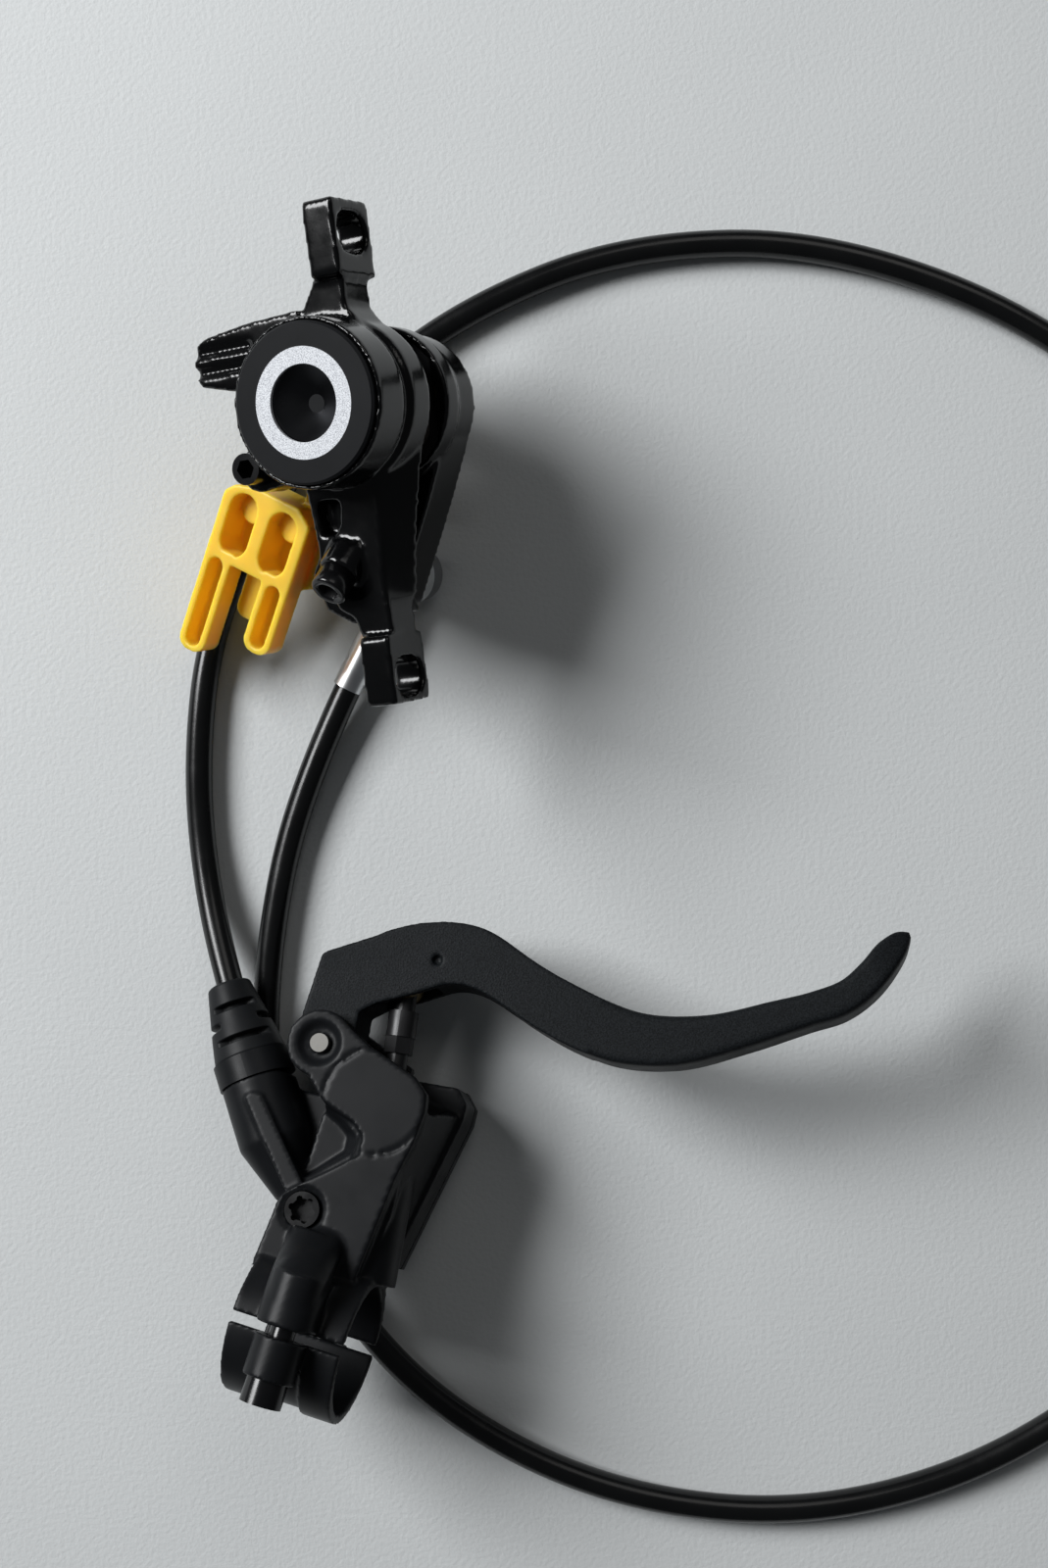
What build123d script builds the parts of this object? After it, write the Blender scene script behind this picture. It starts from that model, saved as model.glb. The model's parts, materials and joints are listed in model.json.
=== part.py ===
from build123d import *
import os
from math import pi, radians, tan

os.makedirs("parts", exist_ok=True)

BASE = (Align.CENTER, Align.CENTER, Align.MIN)
MIDDLE = (Align.CENTER, Align.CENTER, Align.CENTER)
HANGING = (Align.CENTER, Align.CENTER, Align.MAX)

# A bicycle's front hydraulic disc brake as it lies on a table: the caliper, the lever with its
# master cylinder, and the hose between them. Millimetres, z up from the table.
REST_X, REST_Y = 2.3, -6.84  # centre of the caliper and lever on the table

# Running fits and gaps
FIT = 0.05  # radial, a piston or shaft in its bore
GAP = 0.3  # between pieces that move past each other
SEAT = 0.1  # between pieces that are pressed or screwed together
BEYOND = 60.0  # a cut that goes past everything

# Hose and its ends
HOSE_D = 5.0
HOSE_Z = HOSE_D / 2 + 0.05
FERRULE_R, FERRULE_LENGTH, FERRULE_END_WALL = 2.8, 14.0, 2.0
EYE_R, EYE_THICK = 5.6, 4.4
NECK_R = 1.9
SEAL_WASHER_T, SEAL_WASHER_R = 0.6, 5.0
BANJO_SHANK_R, BANJO_REACH = 3.0, 7.0
BANJO_HEAD_R, BANJO_HEAD_T = 5.0, 4.1

# Caliper: x towards the wheel's hub, y along the mounting line, z along the pistons
CALIPER_AT = (-26.1, 65.3, 30.283)
CALIPER_X, CALIPER_Z = (0.886, 0.067, 0.458), (-0.446, -0.142, 0.883)
POCKET_HALF = 5.0  # from the rotor's middle to a housing's inner face
NEAR_TOP = 21.5  # rim round the cap
NEAR_SHOULDER = 15.2  # top of the tabs and of the bridge
FAR_BOTTOM = -14.4
BARREL_R, FLANGE_R, WAIST_R = 14.1, 14.5, 13.4
FLANGE_TOP = 11.4
FAR_R, FAR_RIM_R, FAR_RIM_LOW = 12.5, 13.5, -8.4
LIMB_TOP = NEAR_SHOULDER - 2.6
PISTON_R, PISTON_L, PISTON_WALL = 10.0, 7.0, 1.6
SEAL_SECTION, SEAL_WIDTH, SEAL_AT = 1.1, 2.0, 8.0
FAR_BORE_END = 12.3
CAP_THREAD_R, CAP_R = 11.6, 13.3
CAP_PLUG_END, CAP_SEAT, CAP_TOP = 13.4, 19.6, 22.3
CAP_SEAL_AT, CAP_SEAL_W, CAP_SEAL_T = 16.5, 1.6, 1.2
CAP_WALL, CAP_CONE = 1.2, 4.0  # straight wall of the recess and the cone under it
RING_IN, RING_OUT, RING_T = 6.35, 9.15, 0.6
TAB_LOW, TAB_HIGH = 3.2, NEAR_SHOULDER
TAB_FACE, TAB_THICK, TAB_ROUND = 5.9, 5.8, 0.9  # the face meets the fork's post
TAB_TOP_WALL, TAB_END_WALL = 5.5, 4.4  # from a slot's middle to the tab's outer end
TAB_INNER = 7.4  # and to its inner end
POST_SPACING = 74.2
UPPER_POST = 27.6
LOWER_POST = UPPER_POST - POST_SPACING
SLOT_LENGTH, SLOT_WIDTH = 9.4, 6.8
HUB_DISTANCE = 73.0
ROTOR_CUT_R, ROTOR_CUT_T = 82.0, 4.0
GROOVE_R = 1.0
PAD_SCREW_AT = (-16.9, -8.6)
PAD_SCREW_R, PAD_SCREW_HEAD_R, PAD_SCREW_HEAD_L = 2.0, 2.7, 4.2
PAD_SCREW_HEX, PAD_SCREW_HEX_L, PAD_SCREW_FOOT = 1.75, 3.0, 5.0
PAD_BOSS_R, PAD_BOSS_TOP, PAD_BOSS_LOW = 4.0, 12.0, 3.0
BANJO_AT = (-8.5, -29.5)
BLEED_AT = (-1.5, -24.9)
BLEED_TILT = (-0.2, -0.7, 0.69)
BLEED_R, BLEED_SOCKET_R, BLEED_SOCKET_L, BLEED_HEAD_L = 2.5, 1.7, 3.2, 4.0
BLEED_THREAD_R, BLEED_BOSS_R, BLEED_BOSS_TOP, BLEED_DEPTH = 1.9, 3.7, 4.75, 3.0

# Pads
LINING_FACE, PLATE_FACE = 1.5, 3.2
PLATE_BACK = POCKET_HALF - 0.1
LINING_SIDE, LINING_ROUND = 17.6, 4.0
LINING_SLOT, LINING_BRIDGE = 1.2, 13.0
PAD_ROOM = 0.4
MAGNET_R, MAGNET_L = 4.0, 2.8
PISTON_CUP_L, PISTON_POST_R = 4.0, 5.2

# Transport lock, a moulding with its own frame: y towards the tongue's tip
LOCK_AT = (-21.5, -17.0)
LOCK_Y = (0.5, 0.866)
LOCK_LEFT, LOCK_RIGHT = -10.0, 8.6
LOCK_BOTTOM, LOCK_TOP = -10.5, 4.4
LOCK_BACK, LOCK_FRONT, LOCK_FLOOR = -4.4, 5.0, -2.0
LOCK_TONGUE_T = 1.8
LEG_W, LEG_BACK, LEG_FLOOR = 5.8, 0.3, 1.4
LEFT_LEG_END, RIGHT_LEG_END, BACK_LEG_END = -28.4, -23.2, -20.0
CHANNEL_W, CHANNEL_WALL = 3.1, 1.1
POCKETS_AT, POCKET_L, POCKET_W = ((-5.1, -3.2), (3.5, -3.2)), 11.6, 5.8
BACK_LEG_AT, BACK_LEG_W = -1.2, 5.2

# Lever: x along the handlebar, y from the bar to the pivot, z up from the lever's middle plane
LEVER_AT = (-34.7, -47.6, 14.261)
LEVER_X, LEVER_Z = (0.944, -0.244, 0.222), (-0.16, 0.25, 0.955)
BLADE_HALF = 5.3
EAR_IN = BLADE_HALF + GAP + 0.2
EAR_OUT, EAR_R = 9.0, 5.9
PIN_R, BUSH_R, BUSH_L = 1.65, 2.6, 4.6
PIN_RECESS_R, PIN_BEVEL_R, PIN_RECESS_L = 3.1, 4.1, 1.2
PLATE_TOP = 8.5
WEB_LOW, WEB_TOP = -7.0, -0.8
POCKET_FLOOR_Z = 3.0
BADGE_AT, BADGE_R, BADGE_LINE, BADGE_DEPTH = (12.7, -7.0), 9.6, 0.7, 0.4
BLEED_SCREW_AT, BLEED_SCREW_R, BLEED_SCREW_SUNK = (6.3, -28.3), 3.1, 3.0
BLEED_SCREW_PROUD, BLEED_SCREW_ROOM = 0.4, 4.2
LOBE_R, LOBE_TIP_R, LOBE_L = 1.9, 0.55, 2.2
TANK_BOTTOM = -17.0
TANK_DEPTH = 6.0
LID_T = 2.4
BORE_AT, BORE_DIR = (13.0, 0.0), (0.12, -0.9928)
BORE_R, BORE_WALL, BORE_COVER = 5.0, 1.6, 2.6
BORE_MOUTH, BORE_END = 2.0, 35.0
PISTON_TOP, PISTON_BOTTOM = 8.6, 22.4
PISTON_CUP_R, PISTON_CUP_DEPTH = 3.4, 3.0
WIPER_AT, WIPER_T, WIPER_IN_R = 7.0, 1.2, 3.4
PISTON_GROOVES, PISTON_GROOVE_W, PISTON_GROOVE_D = (13.2, 19.4), 1.6, 1.3
SPRING_R, SPRING_WIRE_R, SPRING_PITCH, SPRING_POST_L = 3.6, 0.5, 3.0, 2.5
ROD_PIN_AT = (10.2, 14.5)
ROD_R, ROD_TAIL = 1.9, 3.0
ROD_BARREL_R, ROD_BARREL_L, ROD_ROOM = 2.4, 8.8, 3.4
ADJUSTER_R, ADJUSTER_AT, ADJUSTER_L, ADJUSTER_HEX_L = 2.7, 4.6, 4.6, 3.0
DIMPLE_AT, DIMPLE_R, DIMPLE_D = (15.2, 20.0), 0.9, 1.0

# Handlebar clamp
BAR_R, CLAMP_R = 11.1, 12.8
CLAMP_Y, CLAMP_Z = -48.3, 1.5
CLAMP_X0, CLAMP_X1 = 1.4, 21.6
CLAMP_RIM, CLAMP_RELIEF = 6.0, 0.8  # rims at both ends of the ring, proud of its middle
CLAMP_GAP = 1.8
BOLT_Z = 14.4
BOLT_BOSS_R, BOLT_BOSS_L = 4.5, 7.0
BOLT_HEAD_R, BOLT_HEAD_L, BOLT_R, BOLT_THREAD = 3.6, 4.2, 2.2, 10.0
BOLT_HEX, BOLT_HEX_L = 2.2, 2.6
TOWER_R, TOWER_L, TOWER_WEB = 4.7, 9.0, 8.0
TOWER_SLOPE, TOWER_DROP, TOWER_TOP_R = 8.0, 10.4, 3.6
SADDLE_Z = 14.0

# Hose port and boot
PORT_AT, PORT_DIR = (-11.1, -9.2), (-0.59, 0.807)
PORT_R, PORT_END_R = 6.7, 3.0
PORT_STRAIGHT, PORT_LENGTH = 11.4, 21.5
PORT_BORE_L = 6.0
CREST_TOP = 7.0
COLLAR_R, COLLAR_L = 7.0, 4.4
BOOT_BASE_R, BOOT_TIP_R, BOOT_L = 6.6, 3.9, 14.2
BOOT_GAP = 0.25
BOOT_SLOTS = ((3.2, -90.0), (3.2, 90.0), (6.6, -20.0), (6.6, 160.0), (9.6, -90.0), (9.6, 90.0))
BOOT_SLOT_W, BOOT_SLOT_H, BOOT_SLOT_FLOOR = 6.4, 1.3, 3.9


def frame(at, x_dir, z_dir):
    """A plane at a place on the table, with the rest position taken off."""
    z = Vector(*z_dir).normalized()
    x = Vector(*x_dir) - z * Vector(*x_dir).dot(z)
    return Plane(origin=(at[0] - REST_X, at[1] - REST_Y, at[2]), x_dir=x, z_dir=z)


def turned(base, at, along, across):
    """A plane at a local point of another, z along one local direction and x near another."""
    origin = base.from_local_coords(Vector(*at))
    z = (base.from_local_coords(Vector(*at) + Vector(*along)) - origin).normalized()
    x = base.from_local_coords(Vector(*at) + Vector(*across)) - origin
    return Plane(origin=origin, x_dir=x - z * x.dot(z), z_dir=z)


def write(piece, name):
    """Label a finished piece and write it to its own file."""
    piece.label = name
    export_step(piece, f"parts/{name}.step")


CALIPER = frame(CALIPER_AT, CALIPER_X, CALIPER_Z)
PISTON_AXIS = Axis(CALIPER.origin, CALIPER.z_dir)
SECTION = turned(CALIPER, (0, 0, 0), (0, -1, 0), (1, 0, 0))  # x outwards, y along the pistons
LEVER = frame(LEVER_AT, LEVER_X, LEVER_Z)
LOCK = turned(CALIPER, (*LOCK_AT, 0), (0, 0, 1), (LOCK_Y[1], -LOCK_Y[0], 0))
BLEED = turned(CALIPER, (*BLEED_AT, LIMB_TOP - 1.4), BLEED_TILT, (1, 0, 0))
BORE = turned(LEVER, (*BORE_AT, 0), (*BORE_DIR, 0), (0, 0, 1))
PORT = turned(LEVER, (*PORT_AT, 0), (*PORT_DIR, 0), (0, 0, 1))
BAR = turned(LEVER, (CLAMP_X0, CLAMP_Y, CLAMP_Z), (1, 0, 0), (0, 0, 1))
CLAMP_MID = (CLAMP_X0 + CLAMP_X1) / 2


def bolt_plane(side, y, up):
    """A plane on a clamp bolt's axis at a height y, facing along the bolt."""
    return turned(LEVER, (CLAMP_MID, y, CLAMP_Z + side * BOLT_Z), (0, up, 0), (1, 0, 0))


# Outlines of the caliper body
NOSE = [
    (-12.8, 4.6), (-18.8, 4.8), (-25.1, 6.4), (-26.4, 8.6), (-25.4, 13.2),
    (-23.3, 14.5), (-14.5, 15.7), (-4.0, 16.2), (-4.0, 8.0),
]
NOSE_GROOVES = (12.1, 8.8)
NECK_TOP = UPPER_POST - TAB_INNER + 1.5
UPPER_NECK = [
    (-8.0, 9.0), (-3.5, 15.6), (TAB_FACE - TAB_THICK + 0.3, NECK_TOP),
    (TAB_FACE - 0.6, NECK_TOP), (TAB_FACE - 0.8, 15.5), (9.5, 9.5),
]
LIMB_END = LOWER_POST + TAB_INNER - GAP
LIMB_LOW = [
    (-9.5, -8.0), (-8.2, -13.3), (-7.4, -20.0), (-7.2, -25.5), (-6.8, -30.0), (-4.6, -34.2), (-2.0, -35.8),
    (-0.6, LIMB_END), (TAB_FACE, LIMB_END), (TAB_FACE, -34.4), (7.1, -33.0), (8.7, -21.8), (10.8, -12.4), (12.8, -6.0),
]
LIMB_HIGH = [
    (-9.5, -8.0), (-8.0, -13.3), (-7.2, -20.0), (-7.0, -25.5), (-6.6, -30.0), (-4.4, -34.2), (-1.8, -35.8),
    (-0.6, LIMB_END), (TAB_FACE - 0.5, LIMB_END), (5.2, -34.4), (4.8, -31.0), (5.6, -21.8), (6.3, -12.4), (9.5, -6.0),
]
LIMB_HOLLOW = [(-6.2, -15.6), (-1.6, -15.8), (-2.2, -20.2), (-3.2, -21.6), (-6.0, -21.4)]
FAR_LIMB = [
    (-12.0, -5.0), (-13.0, -22.0), (-12.8, -29.0), (-9.6, -35.2),
    (-3.6, -35.2), (0.2, -28.0), (5.4, -18.0), (11.2, -5.5),
]
LOWER_BRIDGE = [(-9.6, -22.0), (-3.0, -22.0), (1.0, -36.0), (-6.0, -37.0), (-11.0, -34.0), (-13.0, -27.5)]
SCREW_EARS = [(-10.0, -3.5), (-10.0, -12.0), (-16.0, -12.4), (-17.4, -5.0)]
PAD_OUTLINE = [
    (-11.6, 8.6), (-11.6, -3.0), (-14.5, -5.4), (-14.5, -11.5), (-8.0, -11.5),
    (7.2, -10.6), (10.4, -7.2), (10.4, 6.4), (7.4, 9.6), (-10.4, 9.6),
]
LOCK_WAY = [(-22.0, 4.0), (-22.0, -14.0), (-11.0, -20.0), (-5.0, -20.0), (-5.0, 4.0)]

# Caliper body, one forging: two round housings joined by a ribbed bridge and by the lower limb
with BuildPart(CALIPER) as caliper_body:
    # Near housing: flange, waist and barrel, turned about the pistons' axis
    with BuildSketch(SECTION) as near_section:
        with BuildLine():
            Polyline(
                (0, POCKET_HALF), (FLANGE_R, POCKET_HALF), (FLANGE_R, FLANGE_TOP), (WAIST_R, FLANGE_TOP + 0.5),
                (WAIST_R, FLANGE_TOP + 1.1), (BARREL_R, FLANGE_TOP + 2.0), (BARREL_R, NEAR_TOP), (0, NEAR_TOP),
                close=True,
            )
        make_face()
        fillet(near_section.vertices().filter_by_position(Axis.X, FLANGE_R - 0.01, FLANGE_R + 0.01), 0.6)
    # Far housing, with the rim that stands round the inner pad
    with BuildSketch(SECTION) as far_section:
        with BuildLine():
            Polyline(
                (0, FAR_BOTTOM), (FAR_R, FAR_BOTTOM), (FAR_R, FAR_RIM_LOW), (FAR_RIM_R, FAR_RIM_LOW + 2),
                (FAR_RIM_R, -ROTOR_CUT_T / 2 - 0.2), (0, -ROTOR_CUT_T / 2 - 0.2), close=True,
            )
        make_face()
    revolve(axis=PISTON_AXIS)
    with BuildSketch(CALIPER.offset(POCKET_HALF)):
        with BuildLine():
            Polyline(*UPPER_NECK, close=True)
        make_face()
    extrude(amount=NEAR_SHOULDER - 1.6 - POCKET_HALF)
    for limb_z, limb in ((POCKET_HALF, LIMB_LOW), (LIMB_TOP, LIMB_HIGH)):
        with BuildSketch(CALIPER.offset(limb_z)):
            with BuildLine():
                Polyline(*limb, close=True)
            make_face()
    loft(ruled=True)
    # Tabs, flat on the side that meets the fork's posts
    for post_y, outward, end_wall in ((UPPER_POST, 1, TAB_TOP_WALL), (LOWER_POST, -1, TAB_END_WALL)):
        tab_y = post_y + outward * (end_wall - TAB_INNER) / 2
        with BuildSketch(turned(CALIPER, (TAB_FACE, tab_y, (TAB_LOW + TAB_HIGH) / 2), (1, 0, 0), (0, 0, 1))) as tab:
            Rectangle(TAB_HIGH - TAB_LOW, end_wall + TAB_INNER)
            fillet(tab.vertices(), TAB_ROUND)
        extrude(amount=-TAB_THICK)
    with BuildSketch(CALIPER.offset(FAR_BOTTOM)) as far_limb:
        with BuildLine():
            Polyline(*FAR_LIMB, close=True)
        make_face()
        fillet(far_limb.vertices(), 1.6)
    extrude(amount=-POCKET_HALF - FAR_BOTTOM)
    with BuildSketch(CALIPER.offset(FAR_BOTTOM + 2.0)) as nose:
        with BuildLine():
            Polyline(*NOSE, close=True)
        make_face()
        fillet(nose.vertices().sort_by(Axis(CALIPER.origin, CALIPER.x_dir))[:5], 1.0)
    extrude(amount=NEAR_SHOULDER - 1.2 - FAR_BOTTOM - 2.0)
    with BuildSketch(CALIPER.offset(-POCKET_HALF - 1)):
        with BuildLine():
            Polyline(*LOWER_BRIDGE, close=True)
        make_face()
    extrude(amount=2 * POCKET_HALF + 2)
    # Ears for the pad screw, outside both housings
    with BuildSketch(CALIPER.offset(FAR_BOTTOM + PAD_BOSS_LOW)):
        with BuildLine():
            Polyline(*SCREW_EARS, close=True)
        make_face()
        with Locations(PAD_SCREW_AT):
            Circle(PAD_BOSS_R)
    extrude(amount=PAD_BOSS_TOP - FAR_BOTTOM - PAD_BOSS_LOW)
    # Hollow beside the limb's rib, and the bleed screw's boss below it
    with BuildSketch(CALIPER.offset(LIMB_TOP - 3.4)) as hollow:
        with BuildLine():
            Polyline(*LIMB_HOLLOW, close=True)
        make_face()
        fillet(hollow.vertices(), 0.9)
    extrude(amount=NEAR_SHOULDER - LIMB_TOP + 3.4, mode=Mode.SUBTRACT)
    with BuildSketch(BLEED):
        Circle(BLEED_BOSS_R)
    extrude(amount=BLEED_BOSS_TOP)
    # Room for the pads, the way in for the lock, and the rotor's slot
    with BuildSketch(CALIPER.offset(-POCKET_HALF)):
        with BuildLine():
            Polyline(*PAD_OUTLINE, close=True)
        make_face()
        offset(amount=PAD_ROOM)
        with BuildLine():
            Polyline(*LOCK_WAY, close=True)
        make_face()
    extrude(amount=2 * POCKET_HALF, mode=Mode.SUBTRACT)
    with BuildSketch(CALIPER.offset(-ROTOR_CUT_T / 2)):
        with Locations((HUB_DISTANCE, 0)):
            Circle(ROTOR_CUT_R)
    extrude(amount=ROTOR_CUT_T, mode=Mode.SUBTRACT)
    # Round grooves over the bridge's end that leave three ridges
    for groove_y in NOSE_GROOVES:
        with Locations((-20.4, groove_y, NEAR_SHOULDER - 1.0)):
            Cylinder(GROOVE_R, 13.0, rotation=(0, 90, 0), align=MIDDLE, mode=Mode.SUBTRACT)
        with Locations((-26.5, groove_y, 0)):
            Cylinder(GROOVE_R, BEYOND, align=MIDDLE, mode=Mode.SUBTRACT)
    # Cylinder bores, open at the near side for the cap
    with Locations((0, 0, POCKET_HALF)):
        Cylinder(PISTON_R + FIT, CAP_PLUG_END - POCKET_HALF, align=BASE, mode=Mode.SUBTRACT)
    with Locations((0, 0, CAP_PLUG_END)):
        Cylinder(CAP_THREAD_R, NEAR_TOP - CAP_PLUG_END, align=BASE, mode=Mode.SUBTRACT)
    with Locations((0, 0, CAP_SEAT)):
        Cylinder(CAP_R, NEAR_TOP - CAP_SEAT, align=BASE, mode=Mode.SUBTRACT)
    with Locations((0, 0, -FAR_BORE_END)):
        Cylinder(PISTON_R + FIT, FAR_BORE_END - POCKET_HALF, align=BASE, mode=Mode.SUBTRACT)
    for side in (1, -1):
        with Locations((0, 0, side * (SEAL_AT + SEAL_WIDTH / 2))):
            Cylinder(PISTON_R + FIT + SEAL_SECTION, SEAL_WIDTH, align=MIDDLE, mode=Mode.SUBTRACT)
    # Slots for the post bolts, long along the pistons so that the caliper can be centred
    for post_y in (UPPER_POST, LOWER_POST):
        with BuildSketch(turned(CALIPER, (TAB_FACE, post_y, (TAB_LOW + TAB_HIGH) / 2), (1, 0, 0), (0, 0, 1))):
            SlotOverall(SLOT_LENGTH, SLOT_WIDTH)
        extrude(amount=-2 * TAB_THICK, mode=Mode.SUBTRACT)
    # Pad screw, banjo and bleed holes
    with Locations((*PAD_SCREW_AT, FAR_BOTTOM + PAD_SCREW_FOOT)):
        Cylinder(PAD_SCREW_R, PAD_BOSS_TOP - FAR_BOTTOM, align=BASE, mode=Mode.SUBTRACT)
    with Locations((*BANJO_AT, FAR_BOTTOM)):
        Cylinder(BANJO_SHANK_R, BANJO_REACH + 1.0, align=BASE, mode=Mode.SUBTRACT)
    with BuildSketch(BLEED.offset(BLEED_BOSS_TOP)):
        Circle(BLEED_THREAD_R)
    extrude(amount=-BLEED_BOSS_TOP - BLEED_DEPTH, mode=Mode.SUBTRACT)
    with BuildSketch(BLEED.offset(BLEED_BOSS_TOP)):
        Circle(BLEED_R + GAP)
    extrude(amount=2 * BLEED_HEAD_L, mode=Mode.SUBTRACT)
write(caliper_body.part, "caliper_body")

# Screwed cap over the outer bore, with its silver ring
with BuildPart(CALIPER) as piston_cap:
    with Locations((0, 0, CAP_PLUG_END + SEAT)):
        Cylinder(CAP_THREAD_R, CAP_SEAT - CAP_PLUG_END - SEAT, align=BASE)
    with Locations((0, 0, CAP_SEAT)):
        Cylinder(CAP_R, CAP_TOP - CAP_SEAT, align=BASE)
    rim_edges = piston_cap.edges().filter_by(GeomType.CIRCLE).group_by(SortBy.RADIUS)[-1]
    chamfer(rim_edges.sort_by(PISTON_AXIS)[-1], 0.4)
    with Locations((0, 0, CAP_TOP)):
        Cylinder(RING_OUT, RING_T, align=HANGING, mode=Mode.SUBTRACT)
        Cylinder(RING_IN, CAP_WALL, align=HANGING, mode=Mode.SUBTRACT)
    with Locations((0, 0, CAP_TOP - CAP_WALL)):
        Cone(RING_IN * 0.04, RING_IN, CAP_CONE, align=HANGING, mode=Mode.SUBTRACT)
    with Locations((0, 0, CAP_SEAL_AT)):
        Cylinder(CAP_THREAD_R + 1, CAP_SEAL_W, align=BASE, mode=Mode.SUBTRACT)
        Cylinder(CAP_THREAD_R - CAP_SEAL_T, CAP_SEAL_W, align=BASE)
write(piston_cap.part, "piston_cap")

with BuildPart(CALIPER) as cap_ring:
    with Locations((0, 0, CAP_TOP)):
        Cylinder(RING_OUT, RING_T, align=HANGING)
        Cylinder(RING_IN, RING_T, align=HANGING, mode=Mode.SUBTRACT)
write(cap_ring.part, "cap_ring")

with BuildPart(CALIPER) as cap_seal:
    with Locations((0, 0, CAP_SEAL_AT + SEAT)):
        Cylinder(CAP_THREAD_R, CAP_SEAL_W - 2 * SEAT, align=BASE)
        Cylinder(CAP_THREAD_R - CAP_SEAL_T, CAP_SEAL_W - 2 * SEAT, align=BASE, mode=Mode.SUBTRACT)
write(cap_seal.part, "cap_seal")

# Pistons, seals, magnets and pads: the same on both sides of the rotor
for side, side_name in ((1, "outer"), (-1, "inner")):
    SIDE = turned(CALIPER, (0, 0, 0), (0, 0, side), (1, 0, 0))  # its y runs the other way on the inner side
    with BuildPart(SIDE) as piston:
        with Locations((0, 0, PLATE_BACK)):
            Cylinder(PISTON_R, PISTON_L, align=BASE)
            Cylinder(PISTON_R - PISTON_WALL, PISTON_CUP_L, align=BASE, mode=Mode.SUBTRACT)
            Cylinder(PISTON_POST_R, PISTON_CUP_L, align=BASE)
            Cylinder(MAGNET_R, MAGNET_L + 2 * SEAT, align=BASE, mode=Mode.SUBTRACT)
    write(piston.part, f"{side_name}_piston")
    with BuildPart(SIDE) as magnet:
        with Locations((0, 0, PLATE_BACK + 2 * SEAT)):
            Cylinder(MAGNET_R, MAGNET_L, align=BASE)
    write(magnet.part, f"{side_name}_piston_magnet")
    with BuildPart(SIDE) as seal:
        with Locations((0, 0, SEAL_AT + SEAL_WIDTH / 2)):
            Cylinder(PISTON_R + FIT + SEAL_SECTION, SEAL_WIDTH, align=MIDDLE)
            Cylinder(PISTON_R + FIT, SEAL_WIDTH, align=MIDDLE, mode=Mode.SUBTRACT)
    write(seal.part, f"{side_name}_piston_seal")
    with BuildPart() as plate:
        with BuildSketch(SIDE.offset(PLATE_FACE)) as plate_outline:
            with BuildLine():
                Polyline(*[(x, y * side) for x, y in PAD_OUTLINE], close=True)
            make_face()
            fillet(plate_outline.vertices(), 0.8)
            with Locations((PAD_SCREW_AT[0], PAD_SCREW_AT[1] * side)):
                Circle(PAD_BOSS_R - 0.4)
                Circle(PAD_SCREW_R + SEAT, mode=Mode.SUBTRACT)
        extrude(amount=PLATE_BACK - PLATE_FACE)
    write(plate.part, f"{side_name}_pad_plate")
    with BuildPart() as lining:
        with BuildSketch(SIDE.offset(LINING_FACE)) as lining_outline:
            Rectangle(LINING_SIDE, LINING_SIDE)
            fillet(lining_outline.vertices(), LINING_ROUND)
            Rectangle(LINING_SLOT, LINING_SIDE, mode=Mode.SUBTRACT)
            Rectangle(LINING_SLOT, LINING_BRIDGE)
        extrude(amount=PLATE_FACE - LINING_FACE)
    write(lining.part, f"{side_name}_pad_lining")

# Screw that holds the pads, across the pocket
with BuildPart(CALIPER) as pad_screw:
    with Locations((*PAD_SCREW_AT, PAD_BOSS_TOP)):
        Cylinder(PAD_SCREW_R, PAD_BOSS_TOP - FAR_BOTTOM - PAD_SCREW_FOOT - 0.5, align=HANGING)
        Cylinder(PAD_SCREW_HEAD_R, PAD_SCREW_HEAD_L, align=BASE)
    with BuildSketch(CALIPER.offset(PAD_BOSS_TOP + PAD_SCREW_HEAD_L)):
        with Locations(PAD_SCREW_AT):
            RegularPolygon(PAD_SCREW_HEX, 6)
    extrude(amount=-PAD_SCREW_HEX_L, mode=Mode.SUBTRACT)
write(pad_screw.part, "pad_screw")

with BuildPart(BLEED) as caliper_bleed_screw:
    with Locations((0, 0, BLEED_BOSS_TOP)):
        Cylinder(BLEED_THREAD_R, BLEED_BOSS_TOP + BLEED_DEPTH - 2 * SEAT, align=HANGING)
        Cylinder(BLEED_R, BLEED_HEAD_L, align=BASE)
    with Locations((0, 0, BLEED_BOSS_TOP + BLEED_HEAD_L)):
        Cylinder(BLEED_SOCKET_R, BLEED_SOCKET_L, align=HANGING, mode=Mode.SUBTRACT)
    mouth = caliper_bleed_screw.edges().filter_by(GeomType.CIRCLE).sort_by(Axis(BLEED.origin, BLEED.z_dir))[-2:]
    chamfer(mouth, 0.3)
write(caliper_bleed_screw.part, "caliper_bleed_screw")

# Banjo, its bolt and washers under the far housing
EYE_TOP = FAR_BOTTOM - SEAL_WASHER_T
EYE_BOTTOM = EYE_TOP - EYE_THICK
HEAD_TOP = EYE_BOTTOM - SEAL_WASHER_T
FERRULE_END = Vector(-32.6 - REST_X, 17.7 - REST_Y, 4.6)
LAST_CORNER = Vector(-41.0 - REST_X, 1.6 - REST_Y, HOSE_Z)
FERRULE_DIR = (FERRULE_END - LAST_CORNER).normalized()
FERRULE_TOP = FERRULE_END + FERRULE_DIR * FERRULE_LENGTH
EYE_CENTRE = CALIPER.from_local_coords(Vector(*BANJO_AT, (EYE_TOP + EYE_BOTTOM) / 2))
NECK_START = FERRULE_TOP + FERRULE_DIR * 0.8
COLLAR_T = 1.4  # shoulder of the banjo that the ferrule is crimped against
FERRULE = Plane(origin=FERRULE_END, z_dir=FERRULE_DIR)
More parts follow.
